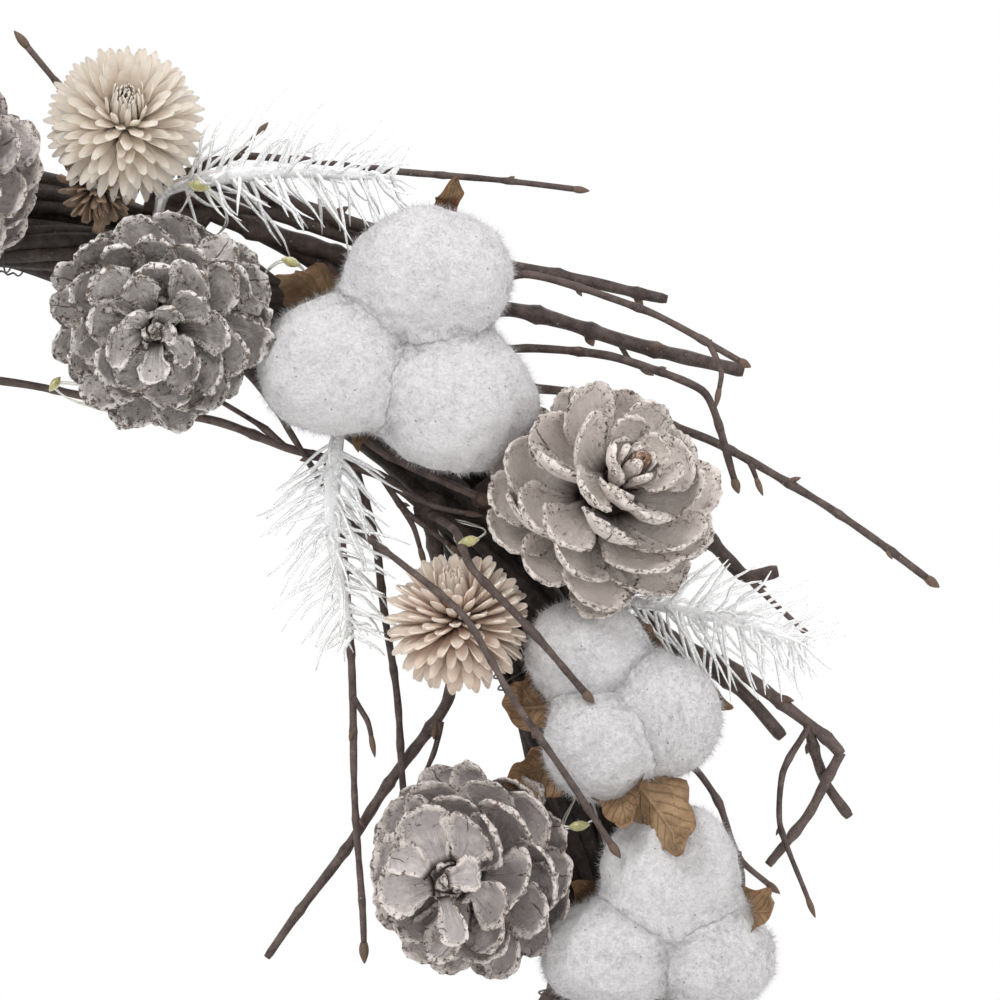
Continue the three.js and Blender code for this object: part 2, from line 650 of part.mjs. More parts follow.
const SPRAYS_SEEN = [
  {
    hub: [117.5, 131, 34],
    twigs: [
      { path: [[126, 146, 30], [137, 158.3, 26.5]], size: [1.9, 1.6] },
      {
        root: [66, 178, 29],
        path: [[86.6, 173.5, 28], [110.9, 165.1, 27], [147, 156, 26], [184.6, 148.3, 24]],
        size: [2, 1.5],
      },
      {
        root: [66, 178, 29],
        path: [[80, 182.3, 31], [95, 181.5, 31], [128, 178.3, 33], [161.3, 174.5, 34]],
        size: [1.2, 0.8],
        side: [[[76, 180.5, 31], [80.9, 183.1, 31], [85.2, 187.7, 31]]],
      },
      {
        path: [[134, 148, 34], [150, 154, 33], [180, 145, 33], [201.4, 133.2, 33]],
        size: [1.2, 0.9],
        side: [[[194, 138, 33], [197, 131, 34], [196.5, 127, 34]]],
      },
      {
        path: [[130, 142, 25], [145.4, 145.7, 20], [175, 138, 18], [203, 130.8, 17]],
        size: [2.3, 1.9],
        side: [[[172, 139, 18], [175, 134, 15], [178, 132, 15]]],
      },
      {
        path: [[136, 134, 31], [150, 136, 27], [171, 134.4, 27], [193, 126, 28], [200.2, 104.4, 27]],
        size: [1.3, 1],
        side: [[[200.5, 111, 28], [204, 108.5, 29], [205.5, 104.5, 30]]],
      },
      {
        path: [[140, 127, 25], [165, 124.5, 17], [194.2, 114, 18], [222, 98.5, 20], [247, 81.1, 20]],
        size: [1.5, 1],
      },
      {
        path: [[111, 116, 36], [117.8, 110.2, 37.5], [130.3, 104.4, 39.5], [138.5, 100.6, 41]],
        size: [1.2, 1.1],
      },
    ],
    bracts: [
      { tip: [90.5, 154, 42], width: 14 },
      { tip: [132.5, 178, 37], width: 8 },
      { tip: [108.8, 110.5, 40], width: 8 },
    ],
  },
  {
    hub: [146, 105, 32],
    twigs: [
      { path: [[158, 84, 33], [165, 67, 32], [168, 51, 33]], size: [2.4, 2] },
      {
        root: [167, 58, 32.5],
        path: [[182, 43, 26.5], [191.5, 34, 25], [197, 26, 24.5], [201.6, 13.2, 24], [208.6, 7, 23]],
        size: [1.3, 0.8],
        side: [[[201.4, 14.5, 24], [202.3, 8, 24.5], [202.4, 2.5, 25]]],
      },
      {
        path: [[168, 92, 25], [183.4, 67.9, 24], [201.8, 58.1, 24], [221.5, 43.4, 25], [226.6, 38, 25]],
        size: [2, 1.4],
        side: [
          [[226.3, 38.6, 25], [219, 24, 25], [208.8, 11.5, 25]],
          [[218, 46, 25], [222.8, 31.2, 21.5], [228.2, 23, 20.5]],
          [[218.5, 45, 26], [212.5, 33.5, 28], [211.7, 21, 28.5], [218.2, 3.5, 28]],
        ],
      },
      { path: [[168, 90, 21], [184, 66, 20], [202, 53.8, 21], [212.6, 42.2, 21]], size: [2, 1.8] },
      {
        path: [[170, 105, 21], [191.8, 92.4, 19], [203, 81, 19], [211.4, 82.2, 19]],
        size: [2.1, 1.9],
        side: [[[202.5, 82, 19], [209, 75.5, 19], [216.5, 68.4, 19]]],
      },
    ],
    bracts: [
      { root: [167, 53, 33], tip: [144.5, 58, 38], width: 16 },
      { root: [167, 53, 33], tip: [148.5, 27, 37], width: 16 },
      { root: [167, 53, 33], tip: [189.5, 16.5, 39], width: 17 },
      { root: [167, 53, 33], tip: [183, 71, 38], width: 9 },
      { root: [167, 53, 33], tip: [200, 51, 36], width: 12 },
    ],
  },
  {
    hub: [175, -4, 33],
    twigs: [
      { path: [[190, -22, 25], [205, -45, 22], [214, -72, 22]], size: [1.7, 1.2] },
      { path: [[187, -30, 27], [196, -58, 25]], size: [1.4, 1] },
      { path: [[160, -18, 28], [143, -38, 24], [128, -62, 24]], size: [1.5, 1] },
    ],
    bracts: [
      { tip: [209, 2, 42], width: 9 },
      { tip: [160, 8, 40], width: 12 },
      { tip: [184, -26, 42], width: 13 },
    ],
  },
];

// Twigs that run along the ring's inner side, round and over the second flower. The longest
// comes from the left under the second cone, and two others cross it.
const INNER_TWIGS = {
  hub: [126, 97, 33],
  twigs: [
    {
      path: [[113, 90, 31], [107.8, 66, 28], [108.5, 30, 26], [110.6, -7.7, 25]],
      size: [1.2, 0.9],
      side: [[[108.2, 52, 27.6], [111.5, 46, 28], [112.4, 42.4, 28]]],
    },
    { path: [[118, 86, 32], [119, 52, 27], [121, 27.6, 25]], size: [1.2, 0.9] },
    {
      path: [[131, 76, 29], [131, 51.6, 24], [112, 23, 22], [87.4, -10.8, 22]],
      size: [2, 1.4],
      side: [[[129.5, 46, 24], [128, 38, 25], [125.8, 32.4, 26]]],
    },
    {
      path: [[114.7, 105.6, 35], [92.2, 112.3, 33], [75.1, 118.6, 31], [33.4, 126.7, 29], [18, 129, 28]],
      size: [1.3, 1.1],
      side: [
        [[115.4, 105.1, 35], [121, 97, 36.5], [132.2, 88, 36.5]],
        [[120.4, 97.6, 36], [123, 93, 36], [124.7, 87.8, 36]],
        [[119, 102.5, 36], [128.5, 98, 39.5], [135.4, 96.5, 41]],
        [[92.2, 112.3, 33], [86, 117.6, 32.5], [77, 123, 31.5]],
      ],
    },
    {
      root: [83, 130, 33],
      path: [
        [88.8, 123, 33.5], [94.9, 113.3, 34.5], [107.2, 94.6, 39], [119.3, 85.2, 57],
        [135.8, 71.5, 69], [149, 49.2, 66], [170.2, 16.8, 60],
      ],
      size: [1, 1.4],
    },
    { path: [[133, 92, 50], [137, 82.8, 63], [150, 69, 65], [164.2, 54, 61]], size: [1.2, 1] },
  ],
};

// The rest of the ring repeats the same planting: a cone, its flower or sprig on the other
// side of the ring, then a boll with its spray, at even steps round. These cones are bedded
// deeper among their neighbours and do without the lowest row of scales.
const FIRST_CONE_ANGLE = 87;
const CONE_STEP = 31.3;
const MODULES = 8;
const FLOWER_MODULES = [1, 2, 5, 6];
const SPRIG_MODULES = [3, 4, 7, 8];
const EXTRA_SPRIG_MODULES = [2.5, 6.5];

const moduleAngle = (k) => FIRST_CONE_ANGLE + k * CONE_STEP;
const moduleOut = (k) => (k % 2 ? -1 : 1);

function repeatedCone(k) {
  const draw = draws(100 + k);
  const angle = moduleAngle(k) + draw(-1, 1);
  const out = moduleOut(k);
  const tilt = out * draw(0.15, 0.4);
  return {
    at: polar(angle, RING_RADIUS + 20 * out + draw(-2, 2), 49 + draw(-2, 2)),
    facing: [tilt * Math.cos(radians(angle)), tilt * Math.sin(radians(angle)) + draw(-0.1, 0.1), 0.93],
    radius: CONE_RADIUS + draw(-1.5, 1),
    turn: draw(0, 45),
    levels: CONE_LEVELS.slice(0, -1),
  };
}

function repeatedFlower(k) {
  const draw = draws(200 + k);
  const angle = moduleAngle(k) + draw(-1, 1);
  const out = -moduleOut(k);
  return {
    at: polar(angle, RING_RADIUS + 28 * out, 45 + draw(-2, 2)),
    facing: [0.3 * out * Math.cos(radians(angle)), 0.3 * out * Math.sin(radians(angle)), 0.9],
    radius: FLOWER_RADIUS + draw(-1, 1),
    turn: draw(0, 36),
  };
}

function repeatedBoll(k) {
  const draw = draws(300 + k);
  const middle = polar(moduleAngle(k) + CONE_STEP / 2, RING_RADIUS + 4, 51);
  const apart = 13.5;
  const start = draw(0, 120);
  return [0, 1, 2].map((i) => {
    const size = draw(15, 17.5);
    const shift = polar(start + 120 * i, apart, draw(-2, 2));
    const place = middle.map((value, axis) => value + shift[axis]);
    return [place, [size, size * draw(0.92, 1.02), 15]];
  });
}

function repeatedSpray(k) {
  const draw = draws(400 + k);
  const angle = moduleAngle(k) + CONE_STEP / 2;
  const twigTo = (lean, radius, depth) => {
    const over = radius > RING_RADIUS ? 1 : -1;
    return {
      path: [
        polar(angle - 0.2 * lean, RING_RADIUS + 15 * over, 32),
        polar(angle - 0.5 * lean, RING_RADIUS + 24 * over, depth + 3),
        polar(angle - lean, radius + draw(-4, 4), depth + draw(-2, 2)),
      ],
      size: [draw(1.3, 2.1), draw(0.8, 1.2)],
    };
  };
  const twigs = [
    twigTo(draw(10, 13), 246, 19),
    twigTo(draw(16, 20), 230, 23),
    twigTo(draw(4, 6), 234, 26),
    twigTo(draw(9, 12), 113, 23),
    twigTo(draw(3, 5), 126, 26),
  ];
  const shootFrom = twigs[0].path[2];
  twigs[0].side = [[
    shootFrom.map((value, axis) => value * 0.6 + twigs[0].path[1][axis] * 0.4),
    polar(angle - 10, 222, 21),
    polar(angle - 13, 231, 23),
  ]];
  const start = draw(0, 120);
  const middle = polar(angle, RING_RADIUS + 4, 34);
  const bracts = [0, 1].map((i) => {
    const turn = radians(start + 150 * i + draw(-12, 12));
    const reach = draw(27, 32);
    const tip = [middle[0] + reach * Math.cos(turn), middle[1] + reach * Math.sin(turn), 37 + draw(-1, 1)];
    return { tip, width: draw(11, 15) };
  });
  return { hub: middle, twigs, bracts };
}

function repeatedSprig(k) {
  const out = -moduleOut(k);
  const angle = moduleAngle(k) + 2;
  const foot = polar(angle - 1, RING_RADIUS + 19 * out, 37);
  return [
    seatOnRing(foot).toArray(),
    foot,
    polar(angle - 7, RING_RADIUS + 38 * out, 41),
    polar(angle - 12 - (out < 0 ? 6 : 0), RING_RADIUS + 55 * out, 40),
  ];
}

// Two more sprigs lean out past the bolls where the ring would look bare.
function extraSprig(k) {
  const path = [[-1, 25, 33], [-6, 44, 35], [-10, 60, 36]].map(([turn, out, depth]) => (
    polar(moduleAngle(k) + turn, RING_RADIUS + out, depth)
  ));
  return [seatOnRing(path[0]).toArray(), ...path];
}

const repeats = Array.from({ length: MODULES }, (_, i) => i + 1);
const cones = [...CONES_SEEN, ...repeats.map(repeatedCone)];
const flowers = [...FLOWERS_SEEN, ...FLOWER_MODULES.map(repeatedFlower)];
const bolls = [...BOLLS_SEEN, ...repeats.map((k) => repeatedBoll(k - 1))];
const sprays = [...SPRAYS_SEEN, ...repeats.map((k) => repeatedSpray(k - 1))];
const sprigs = [
  ...SPRIGS_SEEN,
  ...SPRIG_MODULES.map(repeatedSprig),
  ...EXTRA_SPRIG_MODULES.map(extraSprig),
];

// Assembly: each piece gives way, with its clearance, to what was laid before it.
const wreath = new THREE.Group();
let taken = null;

function lay(name, body, finish, shadow = null, metalness = 0) {
  const piece = taken ? largest(body.subtract(taken)) : body;
  wreath.add(meshOf(name, piece, finish, metalness));
  if (shadow) taken = taken ? taken.add(shadow) : shadow;
}

const number = (index) => String(index + 1).padStart(2, '0');

[0, 1, 2].forEach((index) => {
  wreath.add(meshOf(`ring_vine_${index + 1}`, vine(index, 0), COLOURS.vine));
});
taken = fuse([0, 1, 2].map((index) => vine(index, CLEARANCE)));
lay('light_string', lampString(0), COLOURS.wire, lampString(CLEARANCE));
lay('hanger_wire', hanger(0), COLOURS.steel, hanger(CLEARANCE), 0.9);
lay('battery_case', batteryCase(), COLOURS.case);
wreath.add(meshOf('battery_lid', batteryLid(), COLOURS.case));
wreath.add(meshOf('battery_cell_1', batteryCell(1), COLOURS.cell, 0.6));
wreath.add(meshOf('battery_cell_2', batteryCell(-1), COLOURS.cell, 0.6));
wreath.add(meshOf('switch_knob', switchKnob(), COLOURS.case));

sprays.forEach((plan, index) => {
  lay(`twig_spray_${number(index)}`, spray(plan), COLOURS.twig, spray(plan, CLEARANCE));
});
lay('inner_twigs', spray(INNER_TWIGS), COLOURS.twig, spray(INNER_TWIGS, CLEARANCE));
cones.forEach((plan, index) => {
  lay(`pine_cone_${number(index)}`, pineCone(plan), COLOURS.cone, coneShell(plan));
});
bolls.forEach((lobes, index) => {
  const plan = { lobes, seed: 500 + index };
  lay(`cotton_boll_${number(index)}`, cottonBoll(plan), COLOURS.cotton, cottonBoll(plan, CLEARANCE));
});
flowers.forEach((plan, index) => {
  lay(`dried_flower_${index + 1}`, flowerHead(plan), COLOURS.flower, flowerShell(plan));
});
sprigs.forEach((path, index) => {
  lay(`needle_sprig_${index + 1}`, needleSprig({ path }), COLOURS.sprig);
});

// Hung upright: the depth off the wall points along -Y, and the eye's seat is the origin.
const hung = new THREE.Group();
hung.add(wreath);
wreath.rotation.x = Math.PI / 2;
wreath.position.z = -HANG_HEIGHT;

export default hung;
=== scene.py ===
# %% [markdown]
# # A lighted winter wreath
# The wreath is a ring of dark vines that carries whitewashed pine cones, cotton bolls on
# their dry bracts, dried flower heads, frosted needle sprigs and bare twigs, with a wire of
# small lamps wound along the ring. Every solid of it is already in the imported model, plain
# and in its right place. Here each one is dressed: scales get their cupped blades, lint its
# fuzz, bark its pores. Loading comes first, because everything else is measured from it.

import math
import bmesh
import bpy
import numpy as np
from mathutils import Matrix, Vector


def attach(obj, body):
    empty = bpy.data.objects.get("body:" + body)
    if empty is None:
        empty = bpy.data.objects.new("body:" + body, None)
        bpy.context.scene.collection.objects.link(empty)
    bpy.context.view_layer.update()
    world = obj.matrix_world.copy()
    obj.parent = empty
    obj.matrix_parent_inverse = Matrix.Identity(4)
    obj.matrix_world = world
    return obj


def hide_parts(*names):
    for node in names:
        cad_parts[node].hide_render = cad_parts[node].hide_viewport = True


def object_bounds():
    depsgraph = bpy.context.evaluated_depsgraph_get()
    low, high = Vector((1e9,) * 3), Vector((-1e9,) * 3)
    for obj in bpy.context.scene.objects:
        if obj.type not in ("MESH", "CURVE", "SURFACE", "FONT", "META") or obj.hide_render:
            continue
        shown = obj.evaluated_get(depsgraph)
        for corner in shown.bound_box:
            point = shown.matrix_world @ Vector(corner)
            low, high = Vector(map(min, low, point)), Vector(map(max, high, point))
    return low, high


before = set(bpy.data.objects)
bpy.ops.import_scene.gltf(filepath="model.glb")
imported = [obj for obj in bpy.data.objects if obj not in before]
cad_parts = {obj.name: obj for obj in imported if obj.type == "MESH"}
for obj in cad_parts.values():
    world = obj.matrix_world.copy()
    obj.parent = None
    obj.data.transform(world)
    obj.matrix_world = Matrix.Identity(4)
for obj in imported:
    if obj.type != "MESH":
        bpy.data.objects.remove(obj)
packed_low, packed_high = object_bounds()
print("packed size, mm:", [round(1000 * (b - a)) for a, b in zip(packed_low, packed_high)])

# %% [markdown]
# ## One way to say where things are
# The wreath was laid out face up, in millimetres: x to the right, y up, and z the depth off
# the wall, from the middle of the ring. Blender works in metres with z up, so one helper
# turns a whole array of places at once. A second one reads a place off the photograph,
# where a pixel is 0.24 mm and the middle of the ring lies outside the picture's left edge.

# %% Places in the wreath
HANG_HEIGHT = 183.826
RING_RADIUS = 168.0
RING_DEPTH = 18.5
PIXEL = 0.24
RING_MIDDLE = (-99, 915)


def hung(points):
    """Layout places in millimetres to Blender places in metres."""
    points = np.asarray(points, float).reshape(-1, 3)
    return np.column_stack([points[:, 0], -points[:, 2], points[:, 1] - HANG_HEIGHT]) / 1000


def pictured(across, down, depth):
    """A layout place from a pixel of the photograph and a depth off the wall."""
    return [(across - RING_MIDDLE[0]) * PIXEL, (RING_MIDDLE[1] - down) * PIXEL, depth]


def polar(angle, radius, depth):
    """A layout place by its angle in degrees, its radius and its depth."""
    turn = math.radians(angle)
    return [radius * math.cos(turn), radius * math.sin(turn), depth]


def beside(angle, out, depth):
    """The same, by how far it lies outside the ring's centre line."""
    return polar(angle, RING_RADIUS + out, depth)


def ring_path(angles, out, lifted):
    """A path round the ring, from its angles in radians and its place in the ring's section."""
    radius = RING_RADIUS + out
    return np.column_stack([radius * np.cos(angles), radius * np.sin(angles), RING_DEPTH + lifted])


PICTURE_MIDDLE = pictured(500, 500, 45)
print("middle of the picture:", hung(PICTURE_MIDDLE).round(4).tolist())

# %% [markdown]
# ## The camera
# The photograph is a product shot from straight in front, taken from far away: nothing
# leans and nothing near looks larger than what is far. A long lens copies that. The frame
# is 240 mm across at the depth of the cones.

# %% Set the camera
VIEW_WIDTH = 0.24
VIEW_DISTANCE = 2.6


def add_object(name, data):
    made = bpy.data.objects.new(name, data)
    bpy.context.collection.objects.link(made)
    return made


camera_data = bpy.data.cameras.new("camera")
camera_data.sensor_width = 36.0
camera_data.lens = camera_data.sensor_width * VIEW_DISTANCE / VIEW_WIDTH
camera = add_object("camera", camera_data)
camera.location = Vector(hung(PICTURE_MIDDLE)[0]) - Vector((0, VIEW_DISTANCE, 0))
camera.rotation_euler = (math.pi / 2, 0, 0)
bpy.context.scene.camera = camera
print("lens, mm:", round(camera_data.lens))

# %% [markdown]
# ## The light of a studio tent
# White lint on a white ground is the hard part of this picture. The tent is as bright as
# its paper looks, so it lights everything from all sides and leaves no hard shadow. A large
# lamp from the upper left models the round things, and two weaker ones keep their shadows
# open. Lint keeps its form only because its own colour is a pale grey and not white.

# %% Light the tent
world = bpy.data.worlds.new("studio")
world.use_nodes = True
background = world.node_tree.nodes["Background"].inputs
background["Color"].default_value = (1, 1, 1, 1)
background["Strength"].default_value = 1.0
bpy.context.scene.world = world
bpy.context.scene.view_settings.view_transform = "Standard"


def soft_lamp(name, place, size, power):
    """A round lamp that looks at the middle of the wreath."""
    data = bpy.data.lights.new(name, "AREA")
    data.shape, data.size, data.energy = "DISK", size, power
    lamp = add_object(name, data)
    lamp.location = place
    aim = (packed_low + packed_high) / 2 - Vector(place)
    lamp.rotation_euler = aim.to_track_quat("-Z", "Y").to_euler()


soft_lamp("key_light", (-0.8, -1.3, 1.4), 0.8, 19)
soft_lamp("fill_light", (1.3, -1.2, 0.2), 1.2, 5)
soft_lamp("back_light", (0.3, 1.4, 0.7), 1.2, 6)

# %% [markdown]
# ## A recipe for finishes
# A finish is a small graph of nodes on one shader. The same few steps come back in all of
# them: a noise, a mix of two colours, a range that sharpens a noise into specks, and a bump.
# Writing those once keeps each recipe short, and what a node gives is wrapped so that it can
# be added and multiplied like a number. All noises read the object's own coordinates, in
# metres, so a scale of 1000 gives marks of a millimetre.


# %% Small helpers for node graphs
class Value:
    """What a node gives, which adds and multiplies like a number."""

    def __init__(self, finish, socket):
        self.finish, self.socket = finish, socket

    def math(self, operation, other=0.0):
        return self.finish.add("Math", {0: self, 1: other}, operation=operation)

    def __add__(self, other):
        return self.math("ADD", other)

    def __sub__(self, other):
        return self.math("SUBTRACT", other)

    def __mul__(self, other):
        return self.math("MULTIPLY", other)

    def __abs__(self):
        return self.math("ABSOLUTE")

    def max(self, other):
        return self.math("MAXIMUM", other)

    def ramp(self, low, high, first=0.0, last=1.0):
        """From first to last while this value goes from low to high."""
        return self.finish.add("MapRange", {0: self, 1: low, 2: high, 3: first, 4: last})

    def mix(self, first, second):
        """A colour between two, with this value as the share of the second."""
        return self.finish.add("Mix", {0: self, 6: first, 7: second}, 2, data_type="RGBA")


class Finish:
    """A material under way: the sockets of its shader, and the nodes that feed them."""

    def __init__(self, name, **sockets):
        self.material = bpy.data.materials.new(name)
        self.material.use_nodes = True
        self.tree = self.material.node_tree
        self.shader = self.tree.nodes["Principled BSDF"].inputs
        for socket, value in sockets.items():
            self.shader[socket.replace("_", " ")].default_value = value
        self.space = self.add("TexCoord", output="Object")

    def add(self, kind, inputs=None, output=0, **settings):
        """A new node, fed with values or plain numbers, and one of its outputs."""
        made = self.tree.nodes.new("ShaderNode" + kind)
        for key, value in settings.items():
            setattr(made, key, value)
        for key, value in (inputs or {}).items():
            if isinstance(value, Value):
                self.tree.links.new(value.socket, made.inputs[key])
            else:
                made.inputs[key].default_value = value
        return Value(self, made.outputs[output])

    def noise(self, scale, detail=3.0, roughness=0.6, vector=None):
        """Clouds, from about 0.25 to 0.75."""
        inputs = {"Vector": vector or self.space, "Scale": scale}
        return self.add("TexNoise", inputs | {"Detail": detail, "Roughness": roughness})

    def cells(self, scale):
        """How far the middle of the nearest random cell is."""
        return self.add("TexVoronoi", {"Vector": self.space, "Scale": scale}, "Distance")

    def leaf(self):
        """Where a point lies on its own blade: across from -1 to 1, along, and its tone."""
        vector = self.add("Attribute", output="Vector", attribute_name="leaf")
        parts = self.add("SeparateXYZ", {0: vector}).socket.node.outputs
        return [Value(self, part) for part in parts]

    def feed(self, name, value):
        self.tree.links.new(value.socket, self.shader[name])

    def paint(self, colour):
        self.feed("Base Color", colour)

    def uneven(self, scale, detail, low, high):
        """Roughness that changes from place to place."""
        self.feed("Roughness", self.noise(scale, detail).ramp(0.3, 0.7, low, high))

    def bump(self, height, distance, strength):
        inputs = {"Strength": strength, "Distance": distance, "Height": height}
        self.feed("Normal", self.add("Bump", inputs))

    def grain(self, scale, detail, distance, strength):
        self.bump(self.noise(scale, detail), distance, strength)


def tint(red, green, blue):
    return (red, green, blue, 1.0)


print("finishes read metres: a noise of scale 1000 marks every millimetre")

# %% [markdown]
# ## The floor
# The wreath hangs, so the floor lies well below it. It only has to be pale and plain. A
# faint noise in its roughness keeps it from looking like paper cut out of nothing.

# %% Lay the floor
FLOOR_DROP = 0.12
FLOOR_REACH = 4.0
floor_finish = Finish("floor_paint", Base_Color=tint(0.86, 0.86, 0.85))
floor_finish.uneven(40, 3.0, 0.5, 0.62)
floor_level = packed_low.z - FLOOR_DROP
corners = [(-1, -1), (1, -1), (1, 1), (-1, 1)]
floor_mesh = bpy.data.meshes.new("floor")
floor_points = [(FLOOR_REACH * x, FLOOR_REACH * y, floor_level) for x, y in corners]
floor_mesh.from_pydata(floor_points, [], [(0, 1, 2, 3)])
floor_mesh.materials.append(floor_finish.material)
floor = add_object("floor", floor_mesh)
print("floor level, mm:", round(1000 * floor_level))

# %% [markdown]
# ## Gathering parts into a piece
# Nearly all of the wreath is made of one thing: a slim body with a rounded section that
# changes along its length. A twig is a round one, a petal or a scale is a flat one, a needle
# ends in a point. Blender's curves could bevel each of them, but there are thousands, so the
# points are worked out with arrays and go into one mesh for each piece. Each point also
# keeps where it lies on its own blade, in an attribute that the finishes read.


# %% Gather parts into one piece
class Heap:
    """The points, faces and marks of one piece, gathered part by part."""

    def __init__(self):
        self.points, self.faces, self.marks = [], [], []
        self.count = 0

    def add(self, points, marks, *groups):
        """Takes in points with their marks, and groups of faces as rows of corners."""
        for faces in groups:
            self.faces.extend((np.asarray(faces) + self.count).tolist())
        self.points.append(points.reshape(-1, 3))
        self.marks.append(np.broadcast_to(marks, points.shape).reshape(-1, 3))
        self.count += len(self.points[-1])

    def sleeves(self, rings, marks):
        """Closed bodies from rings of points: rings is bodies x stations x corners x 3."""
        bodies, stations, corners = rings.shape[:3]
        here = np.arange(stations * corners).reshape(stations, corners)
        there = np.roll(here, -1, axis=1)
        sides = np.stack([here[:-1], there[:-1], there[1:], here[1:]], axis=-1).reshape(-1, 4)
        shifts = here.size * np.arange(bodies)[:, None]
        sides = (sides + shifts[..., None]).reshape(-1, 4)
        self.add(rings, marks, sides, here[0][::-1] + shifts, here[-1] + shifts)


def make_piece(name, heap, finish, nodes, body="wreath"):
    """The piece itself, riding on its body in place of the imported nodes."""
    mesh = bpy.data.meshes.new(name)
    mesh.from_pydata(hung(np.concatenate(heap.points)).tolist(), [], heap.faces)
    leaf = mesh.attributes.new("leaf", "FLOAT_VECTOR", "POINT")
    leaf.data.foreach_set("vector", np.concatenate(heap.marks).astype(np.float32).ravel())
    mesh.materials.append(finish.material)
    mesh.polygons.foreach_set("use_smooth", [True] * len(mesh.polygons))
    piece = add_object(name, mesh)
    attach(piece, body)
    if nodes:
        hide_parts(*nodes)
    return piece


def triangles(*pieces):
    return sum(len(face.vertices) - 2 for piece in pieces for face in piece.data.polygons)


print("a piece is one mesh of many small closed bodies")


# %% Rods along a path
def lengths(vectors):
    return np.linalg.norm(vectors, axis=-1, keepdims=True)


def unit(vectors):
    return vectors / lengths(vectors)


def swung(angle, side, lift):
    """The direction that lies at an angle from side towards lift."""
    return np.cos(angle) * side + np.sin(angle) * lift


def circle(count):
    return np.linspace(0, math.tau, count, endpoint=False)


def distance_along(path):
    return np.concatenate([[0], np.cumsum(lengths(np.diff(path, axis=0)))])


def smooth_path(places, spacing, slack=1.0):
    """A curve through a few places, with points at an even spacing. With little slack it
    runs nearly straight from place to place and turns at them, as a twig does."""
    places = np.asarray(places, float)
    padded = np.vstack([2 * places[0] - places[1], places, 2 * places[-1] - places[-2]])
    run = []
    for a, b, c, d in zip(padded, padded[1:], padded[2:], padded[3:]):
        steps = max(2, int(np.linalg.norm(c - b) / spacing))
        t = np.linspace(0, 1, steps, endpoint=False)[:, None]
        leave, arrive = slack * (c - a) / 2, slack * (d - b) / 2
        ease = t * t * (3 - 2 * t)
        pull = leave * t * (1 - t) ** 2 - arrive * t * t * (1 - t)
        run.append(b + ease * (c - b) + pull)
    run = np.vstack([*run, places[-1:]])
    length = distance_along(run)
    even = np.linspace(0, length[-1], max(4, int(length[-1] / spacing) + 1))
    return np.column_stack([np.interp(even, length, axis) for axis in run.T])


def frames_along(path):
    """Side and lift directions that don't twist along a path."""
    forward = unit(np.gradient(path, axis=0))
    lift = np.array([0.0, 0, 1]) if abs(forward[0][2]) < 0.9 else np.array([1.0, 0, 0])
    lifts = []
    for direction in forward:
        lift = unit(lift - direction * (lift @ direction))
        lifts.append(lift)
    lifts = np.array(lifts)
    return np.cross(forward, lifts), lifts


def add_rod(heap, path, radii, corners, tone=0.5):
    """A round rod along a path, as one closed body."""
    side, lift = frames_along(path)
    ring = swung(circle(corners)[:, None], side[:, None], lift[:, None])
    rings = path[:, None] + np.broadcast_to(radii, len(path))[:, None, None] * ring
    run = distance_along(path)[:, None] / 10
    marks = np.stack(np.broadcast_arrays(np.linspace(-1, 1, corners), run, tone), axis=-1)
    heap.sleeves(rings[None], marks[None])


# %% Lumps that repeat exactly
WAVES = 14


def lumps(points, size, seed):
    """A smooth random height for each place, about -1 to 1, with swells of the given size."""
    random = np.random.default_rng(seed)
    waves = unit(random.normal(size=(WAVES, 3))) * random.uniform(0.7, 1.4, (WAVES, 1))
    phases = random.uniform(0, math.tau, WAVES)
    return np.sin(points @ waves.T * math.tau / size + phases).sum(axis=-1) / math.sqrt(WAVES)


def step_up(value, low, high):
    """A soft step from 0 to 1 between low and high."""
    share = np.clip((value - low) / (high - low), 0, 1)
    return share * share * (3 - 2 * share)


def rounded_end(t, start):
    """1 up to start, then the height of a quarter circle down to almost nothing."""
    share = np.clip((t - start) / (1.001 - start), 0, 1)
    return np.sqrt(np.clip(1 - share**2, 0.004, 1))


print("rods and lumps are ready")

# %% [markdown]
# ## Blades
# A scale, a petal and a bract are the same blade with other numbers: how wide it is along
# its length, how thick, how far its edges curl up, and how its middle line bends. The blade
# is described once, from root to tip, and laid out for all the places on a body together.
# Its rim can then be crumbled, because nothing that dried on a plant has a clean edge.

# %% Blades from root to tip
TIP_CROWDING = 1.9
WIDTH_POWER, THICK_POWER, CURL_POWER = 0.8, 0.7, 1.7


def fuller(wave, power):
    """A wave between -1 and 1 that stays longer near its ends, for a power below one."""
    return np.sign(wave) * np.abs(wave) ** power


